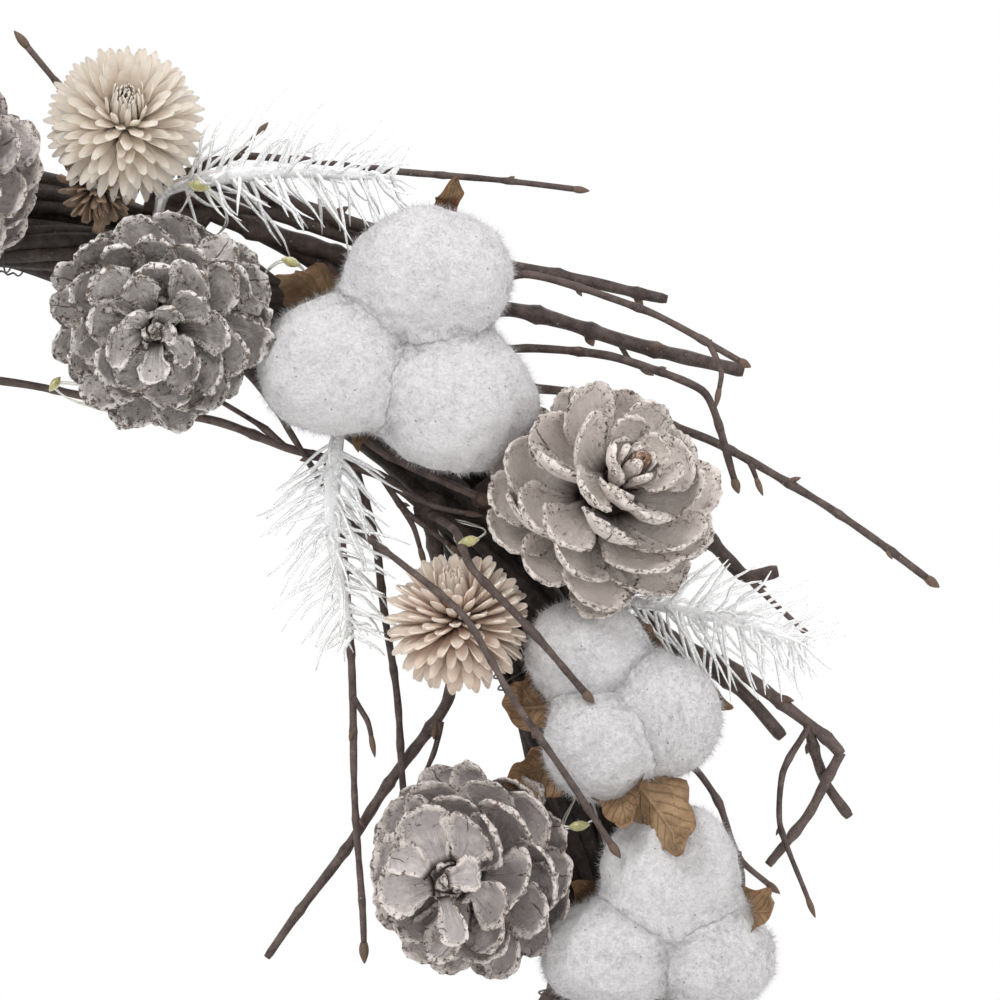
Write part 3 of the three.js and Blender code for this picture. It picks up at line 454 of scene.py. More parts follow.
def blades(roots, tips, across, shape, stations, corners, ragged=0.0, seed=0):
    """Flat bodies from roots to tips. The shape holds width, thick, curl and bend, each a
    function of the share along the blade, in millimetres, or one row for each blade."""
    random = np.random.default_rng(seed)
    count = len(roots)
    t = 1 - (1 - np.linspace(0, 1, stations)) ** TIP_CROWDING
    width, thick, curl, bend = [shape[part](t)[..., None] for part in ("width", "thick", "curl", "bend")]
    reach = tips - roots
    normal = unit(np.cross(reach, across))
    around = circle(corners) + math.pi / corners
    u, rise = fuller(np.cos(around), WIDTH_POWER), fuller(np.sin(around), THICK_POWER)
    phase = random.uniform(0, math.tau, (count, 3, 1, 1))
    along = t[:, None]
    long_wave = np.sin(9 * along + phase[:, 0])
    short_wave = np.sin(17 * along + 2.3 * u + phase[:, 1])
    half = width * u * (1 + 0.5 * ragged * (long_wave + short_wave))
    lift = 0.5 * thick * rise + curl * np.abs(u) ** CURL_POWER + bend
    lift = lift + ragged * np.sin(5 * u + phase[:, 2]) * along
    edge = np.maximum(np.abs(u), step_up(along, 0.7, 1))
    lift = lift + shape.get("brim", 0) * step_up(edge, 0.62, 0.84) * (rise > 0)
    middle = roots[:, None] + reach[:, None] * along
    middle = middle + (shape.get("sway", 0) * t**2)[..., None] * across[:, None]
    rings = middle[:, :, None] + half[..., None] * across[:, None, None]
    rings = rings + lift[..., None] * normal[:, None, None]
    tone = random.uniform(0, 1, (count, 1, 1))
    return rings, np.stack(np.broadcast_arrays(u, along, tone), axis=-1)


def crumble(rings, marks, amount, size, seed):
    """Breaks the rims of blades into uneven crusts."""
    rim = step_up(np.maximum(np.abs(marks[..., 0]), marks[..., 1]), 0.6, 0.97)
    shake = np.stack([lumps(rings, size, seed + axis) for axis in range(3)], axis=-1)
    return rings + amount * rim[..., None] * shake


print("blades are ready")

# %% [markdown]
# ## The planting
# The visible quarter is laid out piece by piece: cones by their middle, the way their nose
# looks and their radius; bolls by their three lobes; flowers, sprigs and sprays alike. The
# rest of the ring repeats a cone, its flower or sprig and a boll with its spray, eight times,
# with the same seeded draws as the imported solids, so that each dressed piece lands on its
# solid. A stalk ends in the vine that lies nearest to it.

# %% Where everything grows
VINE_OFFSET = 8.3
VINE_TWISTS = 3
RING_REACH = 15.5
SEAT_REACH = 5.2

CONES = [
    dict(at=[9.5, 177.6, 50], facing=[0.1, 0.2, 0.97], radius=26, turn=20),
    dict(at=[63.2, 142.8, 54], facing=[-0.1, -0.2, 0.97], radius=27, turn=8, scales=60, flare=14, nose=0.62),
    dict(at=[167.6, 99.2, 50], facing=[0.46, 0.5, 0.8], radius=29, turn=30, scales=44, nose=0.84),
    dict(at=[138, 10.6, 46], facing=[-0.42, -0.1, 0.9], radius=27, turn=15, scales=46, flare=58, first=27),
]
FLOWERS = [
    dict(at=[53.8, 189.6, 46], facing=[0.06, 0.42, 0.87], radius=20),
    dict(at=[133.6, 70.3, 48], facing=[-0.1, 0.85, 0.55], radius=18),
]
BOLLS = [
    [
        ([127, 153.1, 52], [20, 16.5, 16]), ([103.7, 131.5, 51], [18, 17, 16]),
        ([133, 123.6, 50], [19, 17.5, 16]),
    ],
    [
        ([164.9, 63, 46], [15, 13, 12]), ([184.1, 48, 49], [12.5, 14, 13]),
        ([167, 40.8, 51], [13.5, 13.5, 13]),
    ],
    [([185, 8.9, 47], [17, 17, 15]), ([169.7, -9.6, 48], [16, 13, 14]), ([195.4, -9.6, 46], [14, 13, 13])],
]
SPRIGS = [
    [[61, 168, 33], [66, 175, 42], [92, 178.5, 47], [119, 176.9, 46]],
    [[107, 119, 31], [104.6, 114, 42], [103.5, 92, 44], [108.2, 66, 42]],
    [[164, 69.5, 30], [177.4, 75.1, 36], [202, 70, 39], [219, 64, 37.5]],
]


def draws(seed):
    """The wreath's own seeded draw, the same on every run."""
    state = [seed]

    def draw(low, high):
        state[0] = (state[0] * 1664525 + 1013904223) % 2**32
        return low + (high - low) * state[0] / 2**32

    return draw


def seat_on_ring(place):
    """Where the stalk of a piece at this place meets its nearest vine."""
    x, y, z = place
    angle = math.atan2(y, x)
    spot = np.array([math.hypot(x, y) - RING_RADIUS, z - RING_DEPTH])
    twists = VINE_TWISTS * angle + np.arange(3) * math.tau / 3
    axes = VINE_OFFSET * np.column_stack([np.cos(twists), np.sin(twists)])
    nearest = axes[np.argmin(np.linalg.norm(axes - spot, axis=1))]
    seat = SEAT_REACH * unit(spot - nearest) + nearest
    return beside(math.degrees(angle), seat[0], RING_DEPTH + seat[1])


def clear_of_ring(path, margin):
    """Pushes the points of a path out of the ring's round envelope."""
    out = np.hypot(path[:, 0], path[:, 1]) - RING_RADIUS
    lift = path[:, 2] - RING_DEPTH
    grow = np.maximum(1, (RING_REACH + margin) / np.hypot(out, lift))
    return ring_path(np.arctan2(path[:, 1], path[:, 0]), out * grow, lift * grow)


# %% The repeats round the ring
FIRST_MODULE, MODULE = 87, 31.3


def module_angle(k):
    return FIRST_MODULE + MODULE * k


def repeated_cone(k):
    draw = draws(100 + k)
    angle = module_angle(k) + draw(-1, 1)
    out = -1 if k % 2 else 1
    tilt = out * draw(0.15, 0.4)
    at = polar(angle, RING_RADIUS + 20 * out + draw(-2, 2), 49 + draw(-2, 2))
    facing = polar(angle, tilt, 0.93)
    facing[1] += draw(-0.1, 0.1)
    return dict(at=at, facing=facing, radius=27 + draw(-1.5, 1), turn=draw(0, 45))


def repeated_flower(k):
    draw = draws(200 + k)
    angle = module_angle(k) + draw(-1, 1)
    out = 1 if k % 2 else -1
    at = beside(angle, 28 * out, 45 + draw(-2, 2))
    return dict(at=at, facing=polar(angle, 0.3 * out, 0.9), radius=19 + draw(-1, 1))


def repeated_boll(k):
    draw = draws(300 + k)
    middle = beside(module_angle(k) + MODULE / 2, 4, 51)
    start = draw(0, 120)
    lobes = []
    for i in range(3):
        size = draw(15, 17.5)
        place = np.add(middle, polar(start + 120 * i, 13.5, draw(-2, 2)))
        lobes.append([place, [size, size * draw(0.92, 1.02), 15]])
    return lobes


def repeated_sprig(k):
    out = 1 if k % 2 else -1
    angle = module_angle(k) + 2
    foot, middle = beside(angle - 1, 19 * out, 37), beside(angle - 7, 38 * out, 41)
    return [seat_on_ring(foot), foot, middle, beside(angle - (12 if out > 0 else 18), 55 * out, 40)]


def extra_sprig(k):
    angle = module_angle(k)
    path = [beside(angle - 1, 25, 33), beside(angle - 6, 44, 35), beside(angle - 10, 60, 36)]
    return [seat_on_ring(path[0]), *path]


CONES += [repeated_cone(k) for k in range(1, 9)]
FLOWERS += [repeated_flower(k) for k in (1, 2, 5, 6)]
BOLLS += [repeated_boll(k) for k in range(8)]
SPRIGS += [repeated_sprig(k) for k in (3, 4, 7, 8)] + [extra_sprig(k) for k in (2.5, 6.5)]
print("cones", len(CONES), "flowers", len(FLOWERS), "bolls", len(BOLLS), "sprigs", len(SPRIGS))

# %% [markdown]
# ## Pine cones
# An open cone is a spiral of woody scales, each a golden angle on from the last: small and
# upright at the nose, broad and spoon-shaped at the waist, lying back at the base. Modelling
# one scale and copying it would show at once, so width, cup and lean change from nose to
# base, and each rim is crumbled on its own. The whitewash is a finish, not a shape: thick
# and pale on the rims, thin and grey in the cups, cracked, chipped to brown bark in specks,
# and missing near the core, where the bare bark is painted very dark as painted shade.

# %% Whitewash on bark
CHIPPED = tint(0.19, 0.14, 0.115)
BARE_BARK_AND_SHADE = tint(0.05, 0.036, 0.03)
RESIN_BROWN = tint(0.27, 0.15, 0.095)
STAIN = tint(0.2, 0.16, 0.14)
RESINOUS = 2
CRACK_WIDTH = 0.014


def whitewash(name, rim, cup, mottled, bare_and_shade_to):
    """Pale at the rim and grey in the cup, and cracked where a cloudy noise crosses its middle."""
    finish = Finish(name, Roughness=0.86, Specular_IOR_Level=0.2)
    noise = finish.noise
    across, along, tone = finish.leaf()
    edge = abs(across).max(along.ramp(0.72, 1.0)) + noise(430, 4.0).ramp(0.3, 0.7, -0.13, 0.13)
    cloud = noise(220, 6.0, 0.7).ramp(0.38, 0.62, -mottled, mottled)
    painted = (edge.ramp(0.58, 0.76, 0.05, 0.85) + cloud).mix(cup, rim)
    lanes = finish.add("CombineXYZ", {0: across * 5.0, 1: along, 2: tone * 9.0})
    streak = noise(2.2, 5.0, 0.65, lanes).ramp(0.45, 0.66)
    streak = streak * along.ramp(0.25, 0.7, 0.2 + mottled, 0.35 * mottled)
    crust = abs(edge - 0.66).ramp(0.01, 0.04, 1, 0) * noise(320, 2.0).ramp(0.42, 0.56)
    crack = abs(noise(330) - 0.5).ramp(0.3 * CRACK_WIDTH, CRACK_WIDTH, 1, 0)
    crack = crust.max(crack * edge.ramp(0.3, 0.7, 0.1, 1)) * noise(210, 2.0).ramp(0.42, 0.58)
    split = abs(across - 0.15).ramp(0.015, 0.05, 1, 0) * along.ramp(0.6, 0.7) * tone.ramp(0.9, 0.91)
    chips = noise(900, 6.0, 0.75) + edge.ramp(0.5, 1.0, 0.0, 0.11) + cloud * -0.1
    chips = chips.ramp(0.665 - 0.12 * mottled, 0.71 - 0.1 * mottled)
    worn = chips.max(crack * 0.75).max(split)
    coloured = worn.mix(streak.mix(painted, STAIN), CHIPPED)
    # Near its root each scale shows bark bare of whitewash, painted very dark: painted shade deep inside the
    # cone.
    coloured = along.ramp(0.02, bare_and_shade_to, 1.0, 0.0).mix(coloured, BARE_BARK_AND_SHADE)
    resinous = tone.ramp(RESINOUS - 0.5, RESINOUS - 0.4) * noise(900).ramp(0.35, 0.5, 0.3, 1)
    finish.paint(resinous.mix(coloured, RESIN_BROWN))
    finish.bump(noise(800, 6.0, 0.7) + streak * -0.5 + worn * -0.3, 0.001, 0.85)
    return finish


cone_warm = whitewash("whitewash_warm", tint(0.88, 0.80, 0.745), tint(0.76, 0.69, 0.645), 0.24, 0.28)
cone_cool = whitewash("whitewash_cool", tint(0.94, 0.89, 0.85), tint(0.52, 0.49, 0.475), 0.56, 0.3)
cone_plain = whitewash("whitewash_plain", tint(0.87, 0.785, 0.735), tint(0.5, 0.46, 0.46), 0.36, 0.14)

# %% Lay a spiral over a head
GOLDEN_ANGLE = math.pi * (3 - math.sqrt(5))
UPWARD = np.array([[0.0, 0, 1]])
STALK_RADIUS = 1.5


def facing_axes(facing, turn=0):
    """Three axes as rows, the last along the facing."""
    nose = unit(np.array(facing, float))
    right = unit(np.cross([0.0, 1, 0.2], nose))
    up = np.cross(nose, right)
    turn = math.radians(turn)
    return np.array([swung(turn, right, up), swung(turn, up, -right), nose])


def compass(angles):
    """Directions in the flat, as rows."""
    return np.column_stack([np.cos(angles), np.sin(angles), 0 * angles])


def spiral(count, random, shake):
    """Out and across directions of a golden spiral."""
    out = compass(np.arange(count) * GOLDEN_ANGLE + random.normal(0, shake, count))
    return out, np.cross(UPWARD, out)


def stalk(heap, at, axes, thick, end):
    """The core of a head and the stalk that seats it on its vine."""
    at = np.asarray(at, float)
    path = smooth_path([seat_on_ring(at), at - 0.45 * thick * axes[2], at, at + end * axes[2]], 1.5)
    share = np.linspace(0, 1, len(path))
    radii = STALK_RADIUS + (thick - STALK_RADIUS) * np.exp(-(((share - 0.62) / 0.22) ** 2))
    radii[-1] = 0.3
    add_rod(heap, path, radii, 9)
    heap.marks[-1] = heap.marks[-1] * [1, 0, 1]


# %% Grow the cones
CONE_FLATNESS = 0.86
SEEN_SCALE, HIDDEN_SCALE = (18, 16), (11, 10)
LAST_SCALE, SCALE_CROWDING, SCALE_SLOPE, USUAL_SCALES = 116, 0.76, 62, 46
NOSE_SCALES, RESINOUS_SCALES = 13, 3


def scale_shape(widest, length, lean):
    """The blade of a scale: narrow at its root, spoon-shaped, with a thick crusted rim."""
    cup = 0.42 * widest

    def spread(t):
        return (0.4 + 0.6 * step_up(t, 0.05, 0.7)) * rounded_end(t, 0.6)

    return dict(
        width=lambda t: widest * spread(t),
        thick=lambda t: (0.8 + 0.4 * step_up(t, 0.6, 0.92)) * rounded_end(t, 0.94),
        curl=lambda t: cup * spread(t) ** 2,
        bend=lambda t: cup * (1 - rounded_end(t, 0.6) ** 2) + length * (lean * t**3 - 0.2 * t * (1 - t)),
        brim=0.45,
    )


def closed_nose(radius, height, number, random):
    """The few last scales, which never opened."""
    out, across = spiral(NOSE_SCALES, random, 0.2)
    row = np.linspace(0, 1, NOSE_SCALES)[:, None]
    roots = radius * (0.02 + 0.08 * row) * out + radius * (height - 0.36 - 0.2 * row) * UPWARD
    tips = radius * (0.03 + 0.25 * row) * out + radius * (height - 0.24 * row**2) * UPWARD
    shape = scale_shape(radius * (0.055 + 0.075 * row), lengths(tips - roots), 0.02 - 0.2 * row)
    return blades(roots, tips, across, shape, 9, 8, 0.06, number)


def pine_cone(number, at, facing, radius, turn, scales=52, first=16, flare=5, nose=0.66):
    """First is the angle of the first open scale from the nose, and flare is how many
    degrees flatter than usual the scales round the nose lie."""
    random = np.random.default_rng(700 + number)
    axes = facing_axes(facing, turn)
    fall = first + (LAST_SCALE - first) * np.linspace(0, 1, scales) ** SCALE_CROWDING
    fall = np.radians(fall + random.normal(0, 2, scales))[:, None]
    out, across = spiral(scales, random, 0.1)
    reach = radius * random.uniform(0.93, 1.05, (scales, 1))
    tip_out, tip_up = reach * np.sin(fall), CONE_FLATNESS * reach * np.cos(fall)
    flatter = math.radians(flare) * (1 - step_up(fall, 0.35, 1.1))
    lean = math.radians(SCALE_SLOPE) - 0.62 * fall - flatter
    slope = np.tan(lean + random.normal(0, 0.12, (scales, 1)))
    root_out = 0.17 * radius * np.sqrt(np.sin(fall))
    tips = tip_out * out + tip_up * UPWARD
    roots = root_out * out + (tip_up - slope * (tip_out - root_out)) * UPWARD
    across = unit(across + random.normal(0, 0.26, (scales, 1)) * UPWARD)
    crowd = math.sqrt(USUAL_SCALES / scales) * random.uniform(0.94, 1.26, (scales, 1))
    widest = radius * crowd * (0.12 + 0.145 * step_up(fall, 0.15, 0.95))
    shape = scale_shape(widest, lengths(tips - roots), random.uniform(-0.1, 0.14, (scales, 1)))
    shape["sway"] = widest * random.normal(0, 0.28, (scales, 1))
    detail = SEEN_SCALE if 2 <= number <= 4 else HIDDEN_SCALE
    rings, marks = blades(roots, tips, across, shape, *detail, 0.05, number)
    rings = crumble(rings, marks, 0.28, 2.6, 20 * number)
    heap = Heap()
    heap.sleeves(rings @ axes + at, marks)
    rings, marks = closed_nose(radius, nose, number, random)
    if number == 3:
        brown = marks[:RESINOUS_SCALES]
        brown[brown[..., 1] > 0.5, 2] = RESINOUS
    heap.sleeves(crumble(rings, marks, 0.12, 2, number) @ axes + at, marks)
    stalk(heap, at, axes, 0.2 * radius, (nose - 0.2) * radius)
    finish = {2: cone_cool, 3: cone_warm}.get(number, cone_plain)
    return make_piece(f"cone_{number:02d}", heap, finish, [f"pine_cone_{number:02d}"])


cones = [pine_cone(number, **plan) for number, plan in enumerate(CONES, 1)]
print("triangles of the cones:", [triangles(cone) for cone in cones])

# %% [markdown]
# ## Cotton bolls
# Each boll is three locks of lint that have grown together. A lock is a ball that gravity and
# packing have pressed a little, so its surface swells softly at several sizes. What makes it
# cotton is the edge: thousands of loose fibres that catch the light. Particles would do it in
# the viewport, but they don't travel with a model, so each fibre is one long thin triangle
# that stands out of the skin. The finish adds a sugar-like grain, a few dark specks of trash
# and a little light that goes under the skin.

# %% Lint
lint = Finish(
    "lint", Roughness=0.95, Specular_IOR_Level=0.1, Sheen_Weight=0.25, Sheen_Roughness=0.6,
    Subsurface_Weight=0.3, Subsurface_Scale=0.0025, Subsurface_Radius=(1.0, 0.95, 0.95),
)
specks = lint.cells(330).ramp(0.06, 0.1, 1.0, 0.0) * lint.noise(150, 1.0).ramp(0.5, 0.52)
grains = lint.noise(1300, 4.0, 0.7).ramp(0.35, 0.65)
frost = grains.mix(tint(0.635, 0.618, 0.63), tint(0.80, 0.783, 0.793))
lint.paint(specks.mix(frost, tint(0.3, 0.26, 0.23)))
lint.bump(lint.noise(800, 5.0, 0.7) + lint.noise(2600, 2.0) * 0.7, 0.0011, 0.8)


# %% Grow the bolls
def ball(subdivisions):
    """An even ball of small triangles: its points and faces."""
    grown = bmesh.new()
    bmesh.ops.create_icosphere(grown, subdivisions=subdivisions, radius=1)
    points = np.array([vertex.co for vertex in grown.verts])
    faces = np.array([[vertex.index for vertex in face.verts] for face in grown.faces])
    grown.free()
    return points, faces


BALL, BALL_FACES = ball(5)
FUZZ_SEEN, FUZZ_SEAM, FUZZ_REST = 8000, 1400, 1500
SEAM = 3.5
FIBRE_WIDTH = 0.1
CREASE_LIFT, CREASE_WIDTH = 3.0, 6.5


def fuzz(heap, points, faces, count, random):
    """Loose fibres: long thin triangles that leave the skin at a slant."""
    chosen = points[faces[random.integers(0, len(faces), count)]]
    foot = (chosen * random.dirichlet([1, 1, 1], count)[:, :, None]).sum(axis=1)
    skin = unit(np.cross(chosen[:, 1] - chosen[:, 0], chosen[:, 2] - chosen[:, 0]))
    lean = unit(skin + random.normal(0, 0.6, (count, 3)))
    side = unit(np.cross(lean, random.normal(size=(count, 3)))) * FIBRE_WIDTH / 2
    tip = foot + lean * random.uniform(0.5, 2.4, (count, 1))
    heap.add(np.stack([foot - side, foot + side, tip], axis=1), 0, np.arange(3 * count).reshape(-1, 3))


def off_skin(away, size):
    """How far places lie outside a lock's skin, in about millimetres."""
    return (lengths(away) - 1) * np.mean(size)


def fill_creases(points, skin, others):
    """Lifts the skin of a lock where it meets the others, so that they grow together."""
    for place, size in others:
        away = (points - place) / size
        near = np.clip(1 - np.abs(off_skin(away, size)) / CREASE_WIDTH, 0, 1)
        points = points + CREASE_LIFT * near**2 * unit(skin + unit(away / size))
    return points


def cotton_boll(number, lobes):
    random = np.random.default_rng(900 + number)
    heap = Heap()
    lobes = [(np.array(place), np.array(size)) for place, size in lobes]
    for i, (place, size) in enumerate(lobes):
        others = lobes[:i] + lobes[i + 1:]
        skin = BALL * size[0]
        swell = 1 + 0.04 * lumps(skin, 24, 3 * number + i) + 0.014 * lumps(skin, 7, number + i)
        pile = 0.2 * lumps(skin, 2.1, number + i) + 0.1 * lumps(skin, 1.1, i)
        points = BALL * swell[:, None] * size + pile[:, None] * BALL + place
        points = fill_creases(points, BALL, others)
        heap.add(points, 0, BALL_FACES)
        fuzz(heap, points, BALL_FACES, FUZZ_SEEN if number <= 3 else FUZZ_REST, random)
        if number <= 3:
            gaps = [off_skin((points - other) / reach, reach)[:, 0] for other, reach in others]
            near = (np.abs(gaps) < SEAM).any(axis=0)
            fuzz(heap, points, BALL_FACES[near[BALL_FACES[:, 0]]], FUZZ_SEAM, random)
    return make_piece(f"cotton_{number:02d}", heap, lint, [f"cotton_boll_{number:02d}"])


bolls = [cotton_boll(number, lobes) for number, lobes in enumerate(BOLLS, 1)]
print("triangles of the bolls:", [triangles(boll) for boll in bolls])

# %% [markdown]
# ## Dried flower heads
# The head is a ball of stiff papery petals, again on a golden spiral. The youngest stand
# closed over the middle like a small bud; further out they open, with their edges curled up
# like a gutter; the lowest tiers droop and are darker. Two kinds grow here: ivory heads with
# slim pointed petals, and pinkish ones whose petals are plump and blunt.


# %% Petals
def petal_finish(name, pale, root_shade):
    finish = Finish(
        name, Roughness=0.75, Specular_IOR_Level=0.25,
        Subsurface_Weight=0.3, Subsurface_Scale=0.0015, Subsurface_Radius=(1.0, 0.75, 0.6),
    )
    across, along, tone = finish.leaf()
    worn = finish.noise(420, 4.0).ramp(0.35, 0.7, -0.15, 0.25) + tone.ramp(0, 1, -0.2, 0.2)
    # Each petal darkens from its tip towards its root: painted shade where the petals crowd together.
    base = (along.ramp(0.1, 0.75, 0.0, 0.85) + worn).mix(root_shade, pale)
    # The edges of each petal turn pale: a painted highlight along the rims.
    base = abs(across).ramp(0.75, 1.0, 0.0, 0.35).mix(base, pale)
    finish.paint(along.ramp(0.005, 0.03, 1, 0).mix(base, tint(0.42, 0.31, 0.22)))
    lanes = finish.add("CombineXYZ", {0: across})
    veins = finish.add("TexWave", {"Vector": lanes, "Scale": 1.6, "Distortion": 1.5}, "Fac")
    finish.bump(veins + finish.noise(1500), 0.00025, 0.7)
    return finish


petal_ivory = petal_finish("petal_ivory", tint(1.0, 0.89, 0.775), tint(1.0, 0.855, 0.715))
petal_beige = petal_finish("petal_beige", tint(0.95, 0.80, 0.69), tint(0.66, 0.47, 0.36))
petal_shaded = petal_finish("petal_shaded", tint(0.40, 0.29, 0.21), tint(0.17, 0.11, 0.08))
SLIM = dict(finish=petal_ivory, young=34, open=230, wide=0.084, point=0.42, thick=0.7)
PLUMP = dict(finish=petal_beige, young=26, open=196, wide=0.085, point=0.66, thick=1.2)
SHADED = dict(finish=petal_shaded, young=10, open=90, wide=0.12, point=0.7, thick=0.7)


# %% Grow the flowers
CLOSED_WITHIN, OPEN_FROM, OPEN_TO = 14, 15, 140
PETAL_ROOT = 0.34


def even_shares(count):
    return (np.arange(count) + 0.5) / count


def dried_flower(name, nodes, kind, detail, seed, at, facing, radius):
    """Fall is how far each petal lies from the facing, in radians."""
    random = np.random.default_rng(1100 + seed)
    axes = facing_axes(facing)
    closed = math.radians(CLOSED_WITHIN) * np.sqrt(even_shares(kind["young"]))
    first, last = math.cos(math.radians(OPEN_FROM)), math.cos(math.radians(OPEN_TO))
    fall = np.concatenate([closed, np.arccos(first - (first - last) * even_shares(kind["open"]))])[:, None]
    count = len(fall)
    out, across = spiral(count, random, 0.05)
    opened = step_up(fall, 0.24, 0.62)
    reach = radius * random.uniform(0.91, 1.0, (count, 1)) * (0.86 + 0.14 * opened)
    tips = reach * (np.sin(fall * (0.8 + 0.2 * opened)) * out + np.cos(fall) * UPWARD)
    low = fall + (0.3 - 0.4 * opened) * step_up(fall, 0, 0.25)
    roots = radius * PETAL_ROOT * (np.sin(low) * out + np.cos(low) * UPWARD)
    across = unit(across + random.normal(0, 0.2, (count, 1)) * UPWARD)
    widest = radius * kind["wide"] * (0.5 + 0.5 * opened) * random.uniform(0.85, 1.12, (count, 1))
    length = lengths(tips - roots)
    droop = 0.2 * step_up(fall, 1.3, 2.2)
    shape = dict(
        width=lambda t: widest * (0.6 + 0.4 * step_up(t, 0.1, 0.6)) * rounded_end(t, kind["point"]),
        thick=lambda t: kind["thick"] * (1 - 0.4 * t) * rounded_end(t, 0.95),
        curl=lambda t: 0.5 * widest * step_up(t, 0.2, 0.7) * (1 - 0.5 * step_up(t, 0.8, 1)),
        bend=lambda t: -length * (0.16 * t * (1 - t) + droop * t**3),
    )
    rings, marks = blades(roots, tips, across, shape, *detail, 0.05, seed)
    marks[..., 2] = 0.5 * marks[..., 2] + 0.5 * (1 - step_up(fall, 1.0, 2.3))[:, :, None]
    heap = Heap()
    heap.sleeves(rings @ axes + at, marks)
    if nodes:
        stalk(heap, at, axes, 0.36 * radius, 0.3 * radius)
    return make_piece(name, heap, kind["finish"], nodes)


flowers = []
for number, plan in enumerate(FLOWERS, 1):
    kind = SLIM if number in (1, 4, 5) else PLUMP
    detail = (9, 8) if number < 3 else (6, 6)
    node = f"dried_flower_{number}"
    flowers.append(dried_flower(f"flower_{number}", [node], kind, detail, number, **plan))
# Below the first flower sits a small head of dark petals: painted shade under that flower.
under = dict(at=[47.3, 175.2, 41], facing=[0.1, -0.85, 0.45], radius=10.5)
flowers.append(dried_flower("flower_under", [], SHADED, (6, 6), 9, **under))
print("triangles of the flowers:", [triangles(flower) for flower in flowers])

# %% [markdown]
# ## Needle sprigs
# The sprigs are moulded: a thick frosted stem with long clear needles all round it, leaning
# forward and drooping a little. Against a white ground a clear needle is only seen by its
# grey outline, which comes from light that is bent at its edges, so the finish lets much of
# the light through and keeps the rest as a milky gloss.

# %% Frosted needles
frosted = Finish(
    "frosted_needle", Base_Color=tint(0.98, 0.98, 0.985), Roughness=0.2, IOR=1.4,
    Transmission_Weight=0.46, Specular_IOR_Level=0.6,
)
frosted.uneven(600, 3.0, 0.14, 0.36)
frosted.grain(1500, 2.0, 0.0002, 0.4)
NEEDLES = 96
NEEDLE_LENGTH = 20.0
STEM_SHARES, STEM_RADII = [0, 0.35, 0.85, 1], [1.2, 2.1, 1.4, 0.3]


def needle_sprig(number, places):
    random = np.random.default_rng(1300 + number)
    path = smooth_path(places, 1.5)
    side, lift = frames_along(path)
    forward = unit(np.gradient(path, axis=0))
    count = len(path)
    heap = Heap()
    add_rod(heap, path, np.interp(np.linspace(0, 1, count), STEM_SHARES, STEM_RADII), 8)
    station = (np.linspace(0.22, 0.995, NEEDLES) * (count - 1)).astype(int)
    swing = np.arange(NEEDLES) * GOLDEN_ANGLE + random.normal(0, 0.3, NEEDLES)
    outward = unit(swung(swing[:, None], side[station], lift[station]) * [1, 1, 0.7])
    lean = unit(outward + random.uniform(0.15, 0.75, (NEEDLES, 1)) * forward[station])
    share = np.interp(station / (count - 1), [0.2, 0.4, 0.8, 1], [0.85, 1, 0.75, 0.45])
    reach = NEEDLE_LENGTH * random.uniform(0.72, 1.0, NEEDLES) * share
    t = np.linspace(0, 1, 7)
    sag = random.normal(0, 0.16, (NEEDLES, 3)) + 0.2 * forward[station] - [0, 0.1, 0]
    wave = random.normal(0, 0.035, (NEEDLES, 3))
    thick = np.interp(t, [0, 0.3, 0.75, 1], [0.54, 0.52, 0.41, 0.12])
    for i in range(NEEDLES):
        bent = np.outer(t, lean[i]) + np.outer(t**2, sag[i]) + np.outer(np.sin(6 * t), wave[i])
        run = path[station[i]] + reach[i] * bent
        add_rod(heap, run, thick * random.uniform(0.8, 1.1), 5, tone=random.uniform())
    return make_piece(f"sprig_{number}", heap, frosted, [f"needle_sprig_{number}"])


sprigs = [needle_sprig(number, places) for number, places in enumerate(SPRIGS, 1)]
print("triangles of the sprigs:", [triangles(sprig) for sprig in sprigs])

# %% [markdown]
# ## Bark
# Twigs are dark and finely grained, with pale corky pores, a swelling where each side bud
# sat, and buds or clean cuts at their ends. The pores are small cells of a Voronoi pattern
# that only show where a coarse noise lets them, so they come in patches.
# The tone of a rod says what it is: below one it is bark, two is a bud and three is the pale
# wood of a cut.

# %% Bark finish
BUD, CUT_WOOD = 2, 3


def bark(name, dark, light, pores):
    finish = Finish(name, Roughness=0.7, Specular_IOR_Level=0.35)
    tone = finish.leaf()[2]
    share = finish.noise(260, 5.0, 0.7).ramp(0.32, 0.7) + tone.ramp(0, 1, -0.2, 0.2)
    dots = finish.cells(620).ramp(0.12, 0.22, 1.0, 0.0)
    patched = dots * finish.noise(120, 2.0).ramp(0.5, 0.66) * 0.75
    base = patched.mix(share.mix(dark, light), pores)
    base = tone.ramp(BUD - 0.6, BUD - 0.4).mix(base, tint(0.135, 0.087, 0.062))
    finish.paint(tone.ramp(CUT_WOOD - 0.6, CUT_WOOD - 0.4).mix(base, tint(0.36, 0.25, 0.17)))
    finish.uneven(900, 3.0, 0.5, 0.8)
    finish.bump(finish.noise(1100, 4.0) + dots * 0.5, 0.0005, 0.8)
    return finish


twig_bark = bark("twig_bark", tint(0.045, 0.031, 0.028), tint(0.145, 0.105, 0.092), tint(0.36, 0.31, 0.28))
vine_bark = bark("vine_bark", tint(0.018, 0.014, 0.013), tint(0.075, 0.058, 0.05), tint(0.2, 0.17, 0.15))

# %% [markdown]
# ## Dry bracts
# Under each boll sit the dry brown leaves that once wrapped it. They are the same blades as
# the petals, only broad, thin and curled, with a midrib, branching veins and a torn edge.
# The veins are drawn with the leaf's own coordinates: a saw of slanted lines that starts at
# the midrib, and the midrib itself.

